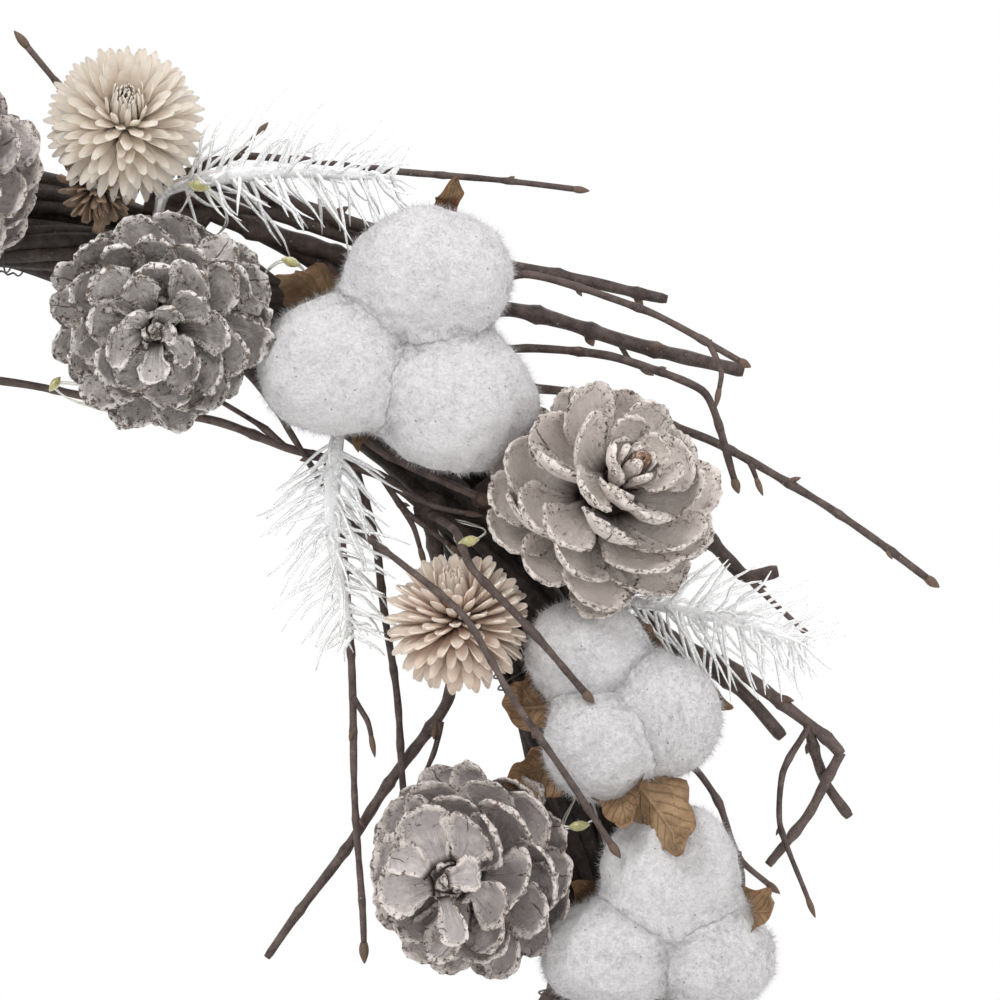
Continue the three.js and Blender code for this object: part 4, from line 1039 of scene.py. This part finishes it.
# %% Bract finish
bract_finish = Finish(
    "dry_bract", Roughness=0.6, Specular_IOR_Level=0.3, Subsurface_Weight=0.15, Subsurface_Scale=0.001
)
noise = bract_finish.noise
across, along, tone = bract_finish.leaf()
span = abs(across)
rib = abs((along * 9.0 + span * -2.6).math("FRACT") - 0.5)
vein = rib.ramp(0.0, 0.1, 1.0, 0.0).max(span.ramp(0.02, 0.09, 1.0, 0.0))
mottle = noise(240, 5.0, 0.7).ramp(0.32, 0.68) + tone.ramp(0, 1, -0.25, 0.25)
leaf_base = mottle.mix(tint(0.125, 0.072, 0.036), tint(0.34, 0.22, 0.12))
spots = noise(700, 4.0, 0.7).ramp(0.6, 0.68) * 0.6
leaf_base = spots.mix(leaf_base, tint(0.08, 0.04, 0.02))
leaf_base = span.ramp(0.82, 1.0, 0.0, 0.5).mix(leaf_base, tint(0.1, 0.055, 0.03))
bract_finish.paint((vein * 0.35).mix(leaf_base, tint(0.38, 0.27, 0.165)))
bract_finish.bump(vein + noise(900, 4.0), 0.0006, 0.8)

# %% [markdown]
# ## Sprays of twigs
# Each spray starts from a hub that is tied on the ring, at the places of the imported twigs.
# A twig's path gets a slight wander, a knob every centimetre or two, now and then a bud on
# one side, and an end: stout ones were cut with pruning shears, slim ones keep their bud.
# Three stout twigs of the top spray are stray vines that lie along the ring behind a sprig.


# %% The sprays, place by place
def grown(path, thick, thin, shoots=(), root=None):
    """One twig: its path from the hub or from its own root, its two thicknesses, its shoots."""
    return dict(path=path, thick=thick, thin=thin, shoots=list(shoots), root=root)


TOP_TWIGS = [
    grown([[126, 146, 30], [137, 158.3, 26.5]], 1.9, 1.6),
    grown([[40, 197, 34], [30, 208.6, 33]], 1, 0.9, root=[52, 183, 36]),
    grown(
        [[86.6, 173.5, 28], [110.9, 165.1, 27], [147, 156, 26], [184.6, 148.3, 24]],
        2, 1.5, root=[66, 178, 29],
    ),
    grown([[88, 169.5, 26], [113, 160.5, 24], [140, 148, 24]], 2.5, 2, root=[60, 175, 27]),
    grown([[90, 163.5, 22], [116, 154, 20], [138, 141, 22]], 2.9, 2.3, root=[62, 170, 24]),
    grown([[83, 163, 20], [106, 150, 18], [134, 133, 20]], 3.3, 2.7, root=[58, 172, 22]),
    grown(
        [[80, 182.3, 31], [95, 181.5, 31], [128, 178.3, 33], [161.3, 174.5, 34]],
        1.2, 0.8, [[[76, 180.5, 31], [80.9, 183.1, 31], [85.2, 187.7, 31]]], root=[66, 178, 29],
    ),
    grown(
        [[134, 148, 34], [150, 154, 33], [180, 145, 33], [201.4, 133.2, 33]],
        1.2, 0.9, [[[194, 138, 33], [197, 131, 34], [196.5, 127, 34]]],
    ),
    grown(
        [[130, 142, 25], [145.4, 145.7, 20], [175, 138, 18], [203, 130.8, 17]],
        2.3, 1.9, [[[172, 139, 18], [175, 134, 15], [178, 132, 15]]],
    ),
    grown(
        [[136, 134, 31], [150, 136, 27], [171, 134.4, 27], [193, 126, 28], [200.2, 104.4, 27]],
        1.3, 1, [[[200.5, 111, 28], [204, 108.5, 29], [205.5, 104.5, 30]]],
    ),
    grown([[140, 127, 25], [165, 124.5, 17], [194.2, 114, 18], [222, 98.5, 20], [247, 81.1, 20]], 1.5, 1),
    grown([[111, 116, 36], [117.8, 110.2, 37.5], [130.3, 104.4, 39.5], [138.5, 100.6, 41]], 1.2, 1.1),
]
SIDE_TWIGS = [
    grown([[158, 84, 33], [165, 67, 32], [168, 51, 33]], 2.4, 2),
    grown(
        [[182, 43, 26.5], [191.5, 34, 25], [197, 26, 24.5], [201.6, 13.2, 24], [208.6, 7, 23]],
        1.3, 0.8, [[[201.4, 14.5, 24], [202.3, 8, 24.5], [202.4, 2.5, 25]]], root=[167, 58, 32.5],
    ),
    grown(
        [[168, 92, 25], [183.4, 67.9, 24], [201.8, 58.1, 24], [221.5, 43.4, 25], [226.6, 38, 25]],
        2.1, 1.6, [[[218.5, 45, 26], [212.5, 33.5, 28], [211.7, 21, 28.5], [218.2, 3.5, 28]]],
    ),
    grown([[219, 24, 25], [208.8, 11.5, 25]], 1.4, 1.3, root=[226.3, 38.6, 25]),
    grown([[222.8, 31.2, 21.5], [228.2, 23, 20.5]], 1.5, 1.4, root=[218, 46, 25]),
    grown([[168, 90, 21], [184, 66, 20], [202, 53.8, 21], [212.6, 42.2, 21]], 2, 1.8),
    grown(
        [[170, 105, 21], [191.8, 92.4, 19], [203, 81, 19], [211.4, 82.2, 19]],
        2.1, 1.9, [[[202.5, 82, 19], [209, 75.5, 19], [216.5, 68.4, 19]]],
    ),
]
LOWER_TWIGS = [
    grown([[190, -22, 25], [205, -45, 22], [214, -72, 22]], 1.7, 1.2),
    grown([[187, -30, 27], [196, -58, 25]], 1.4, 1),
    grown([[160, -18, 28], [143, -38, 24], [128, -62, 24]], 1.5, 1),
]
STRAY_TWIGS = [
    grown(
        [[105, 95, 32], [107.4, 66, 28], [108.5, 30, 26], [110.6, -7.7, 25]],
        1.2, 0.9, [[[108.2, 52, 27.6], [111.5, 46, 28], [112.4, 42.4, 28]]], root=[102, 109.5, 33.5],
    ),
    grown([[114, 88, 32], [118.6, 52, 27], [121, 27.6, 25]], 1.2, 0.9, root=[109, 107.2, 34]),
    grown(
        [[131, 76, 29], [131, 51.6, 24], [112, 23, 22], [87.4, -10.8, 22]],
        2, 1.1, [[[129.5, 46, 24], [128, 38, 25], [125.8, 32.4, 26]]],
    ),
    grown(
        [[114.7, 105.6, 35], [92.2, 112.3, 33], [75.1, 118.6, 31], [33.4, 126.7, 29], [18, 129, 28]],
        1.3, 1.1,
        [
            [[115.4, 105.1, 35], [121, 97, 36.5], [132.2, 88, 36.5]],
            [[120.4, 97.6, 36], [123, 93, 36], [124.7, 87.8, 36]],
            [[119, 102.5, 36], [128.5, 98, 39.5], [135.4, 96.5, 41]],
            [[92.2, 112.3, 33], [86, 117.6, 32.5], [77, 123, 31.5]],
        ],
    ),
    grown(
        [
            [88.8, 123, 33.5], [94.9, 113.3, 34.5], [107.2, 94.6, 39], [119.3, 85.2, 57],
            [135.8, 71.5, 69], [149, 49.2, 66], [170.2, 18.2, 60],
        ],
        0.9, 0.95, root=[83, 130, 33],
    ),
    grown([[133, 92, 50], [137, 82.8, 63], [150, 69, 65], [164.2, 54, 61]], 1.2, 1),
]
TOP_BRACTS = [(None, [90.5, 156, 46], 18), (None, [132.5, 178, 37], 15), (None, [108.8, 110.5, 40], 8)]
SIDE_BRACTS = [
    ([161.5, 51.5, 50], [144.8, 49.5, 49], 20),
    ([161, 37, 45], [145, 32.5, 47], 16),
    ([171.5, 37.5, 54], [189, 15, 67], 18),
    ([171, 37, 51], [175, 20.5, 62], 14),
    ([167, 53, 33], [182, 71, 44], 15),
    ([167, 53, 33], [201, 50.5, 43], 17),
]
LOWER_BRACTS = [([198, 1, 47], [210.5, 1.5, 56], 13), (None, [160, 8, 40], 13), (None, [184, -26, 42], 13)]
SPRAYS = [
    dict(hub=[117.5, 131, 34], twigs=TOP_TWIGS, bracts=TOP_BRACTS),
    dict(hub=[146, 105, 32], twigs=SIDE_TWIGS, bracts=SIDE_BRACTS),
    dict(hub=[175, -4, 33], twigs=LOWER_TWIGS, bracts=LOWER_BRACTS),
]
INNER_TWIGS = dict(hub=[126, 97, 33], twigs=STRAY_TWIGS)


# %% The repeated sprays
def repeated_spray(k):
    draw = draws(400 + k)
    angle = module_angle(k) + MODULE / 2

    def twig_to(lean, radius, depth):
        over = 1 if radius > RING_RADIUS else -1
        end = polar(angle - lean, radius + draw(-4, 4), depth + draw(-2, 2))
        start = beside(angle - 0.2 * lean, 15 * over, 32)
        middle = beside(angle - 0.5 * lean, 24 * over, depth + 3)
        return grown([start, middle, end], draw(1.3, 2.1), draw(0.8, 1.2))

    ends = [(10, 13, 246, 19), (16, 20, 230, 23), (4, 6, 234, 26), (9, 12, 113, 23), (3, 5, 126, 26)]
    twigs = [twig_to(draw(low, high), radius, depth) for low, high, radius, depth in ends]
    near, far = twigs[0]["path"][1:]
    fork = [0.6 * end + 0.4 * before for end, before in zip(far, near)]
    twigs[0]["shoots"].append([fork, polar(angle - 10, 222, 21), polar(angle - 13, 231, 23)])
    start = draw(0, 120)
    middle = beside(angle, 4, 34)
    bracts = []
    for i in range(2):
        turn = math.radians(start + 150 * i + draw(-12, 12))
        reach = draw(27, 32)
        tip = [middle[0] + reach * math.cos(turn), middle[1] + reach * math.sin(turn), 37 + draw(-1, 1)]
        bracts.append((None, tip, draw(11, 15)))
    return dict(hub=middle, twigs=twigs, bracts=bracts)


SPRAYS += [repeated_spray(k) for k in range(8)]
print("sprays:", len(SPRAYS), "and the inner twigs:", len(INNER_TWIGS["twigs"]))

# %% Grow the twigs
TWIG_STEP = 1.3
HUB_RADIUS = 3.4
BARK_SHARE = 0.9
STOUT = 1.3
SHOOT_THICK, SHOOT_THIN = 0.95, 0.65
KNOT_HEIGHT, KNOT_LENGTH = 0.27, 1.3
BUD_SHARE = 0.42


def bud(heap, foot, direction, length, thick):
    """A pointed bud that lies close to its twig."""
    path = foot + direction * length * np.linspace(0, 1, 7)[:, None]
    add_rod(heap, path, thick * np.array([0.8, 1, 1.1, 1.05, 0.85, 0.55, 0.15]), 7, tone=BUD)


def cut_end(heap, end, forward, thick):
    """The pale face that the shears left, a hair beyond the bark."""
    path = end + np.outer([-0.2, 0.06, 0.08], forward)
    add_rod(heap, path, thick * np.array([0.93, 0.93, 0.9]), 9, tone=CUT_WOOD)


def grow_twig(heap, places, thick, thin, random, cut):
    path = smooth_path(places, TWIG_STEP, slack=0.6)
    run = np.arange(len(path)) * TWIG_STEP
    wander = np.column_stack([lumps(path + 40 * axis, 42, 5) for axis in range(3)])
    path = path + 0.3 * wander * np.minimum(1, run / 8)[:, None]
    share = run / run[-1]
    path = np.where((share > 0.12)[:, None], clear_of_ring(path, thin), path)
    radii = BARK_SHARE * (thick + (thin - thick) * share)
    side, lift = frames_along(path)
    forward = unit(np.gradient(path, axis=0))
    knot = random.uniform(5, 10)
    turn = random.uniform(0, 6)
    while knot < run[-1] - 5:
        i = int(knot / TWIG_STEP)
        radii = radii * (1 + KNOT_HEIGHT * np.exp(-(((run - knot) / KNOT_LENGTH) ** 2)))
        away = swung(turn, side[i], lift[i])
        if random.uniform() < BUD_SHARE:
            direction = unit(random.uniform(0.5, 1.2) * away + forward[i])
            length = random.uniform(1.8, 3) * (1.4 if cut else 1)
            bud(heap, path[i] + 0.5 * radii[i] * away, direction, length, 0.5 * radii[i])
        knot += random.uniform(12, 22)
        turn += 2.2 + random.uniform(-0.4, 0.4)
    radii = radii * (1 + 0.06 * lumps(path, 6, 9))
    if cut:
        radii[-1] *= 0.8
        cut_end(heap, path[-1], forward[-1], radii[-1])
    else:
        bud(heap, path[-1], forward[-1], random.uniform(3.2, 5.4), random.uniform(1.05, 1.3) * thin)
    add_rod(heap, path, radii, 9, tone=random.uniform())


def spray_twigs(name, nodes, plan, seed):
    random = np.random.default_rng(seed)
    heap = Heap()
    hub = plan["hub"]
    add_rod(heap, smooth_path([seat_on_ring(hub), np.array(hub) + [0, 0, 3]], 1), HUB_RADIUS, 9)
    for twig in plan["twigs"]:
        thick, thin = twig["thick"], twig["thin"]
        stout = max(thick - 0.5, thin) >= STOUT
        grow_twig(heap, [twig["root"] or hub, *twig["path"]], thick, thin, random, stout)
        for shoot in twig["shoots"]:
            grow_twig(heap, shoot, SHOOT_THICK, SHOOT_THIN, random, cut=False)
    return make_piece(name, heap, twig_bark, nodes)


# %% Grow the bracts
def spray_bracts(name, plan, seed):
    random = np.random.default_rng(seed)
    heap = Heap()
    for i, (root, tip, width) in enumerate(plan["bracts"]):
        root, tip = np.array([root or plan["hub"]], float), np.array([tip], float)
        reach = tip - root
        side = unit(np.cross([0, 0, 1.0], reach))
        across = unit(side + random.uniform(-0.35, 0.35) * unit(np.cross(reach, side)))
        half = 0.5 * width
        curl = random.uniform(0.4, 0.85) * random.choice([-1, -1, 1])
        shape = dict(
            width=lambda t: half * step_up(t, -0.2, 0.45) * (1.02 - t**2.6) ** 0.8,
            thick=lambda t: 0.6 - 0.2 * t,
            curl=lambda t: curl * half * (1.02 - t**2),
            bend=lambda t: lengths(reach) * (0.16 * step_up(t, 0.7, 1) - 0.12 * np.sin(math.pi * t)),
            sway=np.full((1, 1), half * random.uniform(-0.15, 0.15)),
        )
        rings, marks = blades(root, tip, across, shape, 32, 22, 0.16, seed + i)
        rings = crumble(rings, marks, 0.8, 9, seed + i)
        crease = 0.8 * lumps(rings, 13, seed + i) * step_up(marks[..., 1], 0.1, 0.5)
        heap.sleeves(rings + crease[..., None] * unit(np.cross(reach, across)), marks)
    return make_piece(name, heap, bract_finish, [])


twigs, bracts = [], []
for number, plan in enumerate(SPRAYS, 1):
    nodes = [f"twig_spray_{number:02d}"]
    twigs.append(spray_twigs(f"twigs_{number:02d}", nodes, plan, 1500 + number))
    bracts.append(spray_bracts(f"bracts_{number:02d}", plan, 1600 + number))
twigs.append(spray_twigs("twigs_inner", ["inner_twigs"], INNER_TWIGS, 1590))
print("triangles of twigs:", triangles(*twigs), "and bracts:", triangles(*bracts))

# %% [markdown]
# ## The ring
# Three thick vines twisted round each other carry everything. Each is itself a bundle of
# thinner stems, twisted the same way, and a thin dark wire binds them. The stems don't all
# run the whole way round: some start and end on the way, as short pieces do when a wreath
# is wound.

# %% Wind the vines
STEM_STATIONS = 200
STEMS = 8
STEM_OFFSET, STEM_SPIN = 4.3, 5
CORE_RADIUS = 3.6


def vine_bundle(number):
    random = np.random.default_rng(1700 + number)
    heap = Heap()
    for stem in range(STEMS + 1):
        start = random.uniform(0, math.tau)
        share = 1.0 if stem % 2 else random.uniform(0.55, 0.9)
        angles = start + np.linspace(0, math.tau * share, int(STEM_STATIONS * share))
        twist = VINE_TWISTS * angles + number * math.tau / 3
        spin = stem * math.tau / STEMS + STEM_SPIN * angles
        guide = ring_path(angles, 8 * np.cos(twist), 8 * np.sin(twist))
        wander = 0.5 * lumps(guide, 60, stem + 10 * number)
        offset = wander + (STEM_OFFSET if stem < STEMS else 0)
        out = VINE_OFFSET * np.cos(twist) + offset * np.cos(spin)
        path = ring_path(angles, out, VINE_OFFSET * np.sin(twist) + offset * np.sin(spin))
        thick = random.uniform(1.7, 2.5) if stem < STEMS else CORE_RADIUS
        add_rod(heap, path, thick * (1 + 0.09 * lumps(path, 17, stem)), 7, tone=random.uniform())
    return make_piece(f"vine_{number + 1}", heap, vine_bark, [f"ring_vine_{number + 1}"])


vines = [vine_bundle(number) for number in range(3)]
print("triangles of the vines:", [triangles(vine) for vine in vines])

# %% Bind the ring with wire
binding = Finish("binding_wire", Base_Color=tint(0.06, 0.055, 0.05), Metallic=0.8, Roughness=0.5)
binding.grain(2500, 2.0, 0.0001, 0.5)
BINDINGS, TURNS, BINDING_RADIUS = 12, 3, 0.25
VALLEY, CREST = 11.2, 15.0
heap = Heap()
for i in range(BINDINGS):
    turns = np.linspace(0, TURNS * math.tau, 120)
    angles = math.radians(20 + 360 / BINDINGS * i) + np.linspace(0, 0.06, 120) + 0.02 * np.sin(turns)
    on_vine = 0.5 + 0.5 * np.cos(3 * (turns - VINE_TWISTS * angles))
    away = VALLEY + (CREST - VALLEY) * on_vine**0.8
    add_rod(heap, ring_path(angles, away * np.cos(turns), away * np.sin(turns)), BINDING_RADIUS, 5)
make_piece("binding_wire", heap, binding, [])

# %% [markdown]
# ## Lamps
# The lamp wire is two hair-thin insulated wires side by side, and every five centimetres a
# drop of yellow-green resin holds a lamp across them. It follows the groove between two
# vines. Here and there the maker pulled a lamp forward between the cones, as the photograph
# shows, so at those places the wire leaves the groove for a loop and comes back.

# %% Wire and resin
clear_wire = Finish(
    "clear_wire", Base_Color=tint(0.82, 0.8, 0.7), Roughness=0.15, Transmission_Weight=0.4, IOR=1.5
)
clear_wire.grain(1200, 2.0, 0.0001, 0.3)
resin = Finish(
    "lamp_resin", Roughness=0.16, Transmission_Weight=0.35, IOR=1.5, Coat_Weight=0.4,
    Emission_Strength=0.06, Emission_Color=tint(0.9, 0.85, 0.4),
)
resin.paint(resin.noise(400).ramp(0.35, 0.65).mix(tint(0.3, 0.28, 0.1), tint(0.58, 0.54, 0.24)))
resin.grain(900, 2.0, 0.0002, 0.4)

# %% String the lamps
STRING_START, STRING_SWEEP, LEAD_IN, LAMPS = 284.5, 331, 14, 20
WIRE_SEAT, LAMP_SEAT = 8.3, 10.4
WIRE_RADIUS, WIRE_APART, LAMP_RADIUS = 0.2, 0.26, 1.9


def groove(angle, lift):
    facing = VINE_TWISTS * math.radians(angle) + math.pi / 3
    return beside(angle, lift * math.cos(facing), RING_DEPTH + lift * math.sin(facing))


def wire_pair(heap, path):
    apart = WIRE_APART * swung(np.arange(len(path))[:, None] * 0.22, *frames_along(path))
    for wire in (path + apart, path - apart):
        add_rod(heap, wire, WIRE_RADIUS, 6)


def drop(heap, place, direction, size, long=2.4):
    path = np.asarray(place) + unit(direction) * size * long * np.linspace(-0.5, 0.5, 9)[:, None]
    add_rod(heap, path, size * np.array([0.12, 0.5, 0.82, 0.98, 1, 0.95, 0.78, 0.48, 0.12]), 12)


LOOPS = [
    (70, [[66, 168, 42], pictured(200, 187, 53), [78, 166, 43]], 1.4),
    (73, [[50, 131, 40], pictured(55, 384, 46), pictured(84, 404, 42), [56, 124, 36]], 1.1),
    (64, [pictured(214, 268, 58), pictured(224, 277, 60), pictured(236, 290, 48)], 1.1),
    (59, [[88, 155, 38], pictured(291, 262, 45), [97, 152, 38]], 1.2),
    (35, [[140, 92.5, 46], pictured(469, 541, 57), [133, 91, 46]], 1.3),
    (9, [[159, 22, 42], pictured(579, 825, 52), [167, 23, 42]], 1.3),
]
wires, drops = Heap(), Heap()
lead_in = [(turn, WIRE_SEAT + 26 * (1 - turn / LEAD_IN) ** 2) for turn in (0, 3, 6, 10)]
stations = [groove(STRING_START + turn, lift) for turn, lift in lead_in]
spacing = (STRING_SWEEP - LEAD_IN) / LAMPS
for i in range(LAMPS):
    angle = STRING_START + LEAD_IN + (i + 0.9) * spacing
    before, lamp, after = [groove(angle + turn, LAMP_SEAT) for turn in (-1, 0, 1)]
    stations += [groove(angle - 5, WIRE_SEAT + 0.6), lamp]
    drop(drops, lamp, np.subtract(after, before), LAMP_RADIUS)
wire_pair(wires, smooth_path(stations, 1.6))
for angle, loop, size in LOOPS:
    wire_pair(wires, smooth_path([groove(angle + 2, WIRE_SEAT), *loop, groove(angle - 2, WIRE_SEAT)], 1.2))
    drop(drops, loop[1], np.subtract(loop[2], loop[0]), size, 4)
lamp_wire = make_piece("lamp_wire", wires, clear_wire, ["light_string"])
lamp_drops = make_piece("lamp_drops", drops, resin, [])
print("lamps:", LAMPS + len(LOOPS), "triangles:", triangles(lamp_wire, lamp_drops))

# %% [markdown]
# ## Hanger and battery case
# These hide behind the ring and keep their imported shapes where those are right: the case, its
# lid, the cells and the switch only need their plastic and their jacket. The hanger is wire,
# so it gets a round and slightly uneven one in place of its faceted solid.

# %% Hang and power it
steel = Finish("bare_steel", Base_Color=tint(0.5, 0.5, 0.5), Metallic=0.95, Roughness=0.35)
steel.uneven(700, 4.0, 0.25, 0.5)
steel.grain(1800, 2.0, 0.0001, 0.4)
moulded = Finish("moulded_brown", Base_Color=tint(0.03, 0.022, 0.018), Roughness=0.45)
moulded.uneven(1500, 3.0, 0.38, 0.6)
moulded.grain(3000, 3.0, 0.0001, 0.6)
jacket = Finish("cell_jacket", Base_Color=tint(0.2, 0.21, 0.23), Metallic=0.5, Roughness=0.3)
jacket.uneven(500, 3.0, 0.22, 0.36)
plastic = dict.fromkeys(("battery_case", "battery_lid", "switch_knob"), moulded)
for name, finish in (plastic | dict.fromkeys(("battery_cell_1", "battery_cell_2"), jacket)).items():
    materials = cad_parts[name].data.materials
    materials.clear()
    materials.append(finish.material)

HANGER_COLLAR, HANGER_EYE, EYE_HEIGHT, EYE_DEPTH = 17.1, 6.0, 178.826, 2.1
around = np.linspace(0, math.tau, 97)
top = 0 * around + math.pi / 2
collar = ring_path(top, HANGER_COLLAR * np.cos(around), HANGER_COLLAR * np.sin(around))
eye = HANGER_EYE * compass(around) + [0, EYE_HEIGHT, EYE_DEPTH]
heap = Heap()
add_rod(heap, collar, 1 + 0.03 * lumps(collar, 9, 3), 10)
add_rod(heap, eye, 1 + 0.03 * lumps(eye, 7, 4), 10)
make_piece("hanger", heap, steel, ["hanger_wire"])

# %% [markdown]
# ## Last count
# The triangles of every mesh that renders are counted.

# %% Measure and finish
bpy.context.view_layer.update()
shown = [piece for piece in bpy.data.objects if piece.type == "MESH" and not piece.hide_render]
print("triangles in all:", triangles(*shown), "in", len(shown), "meshes")
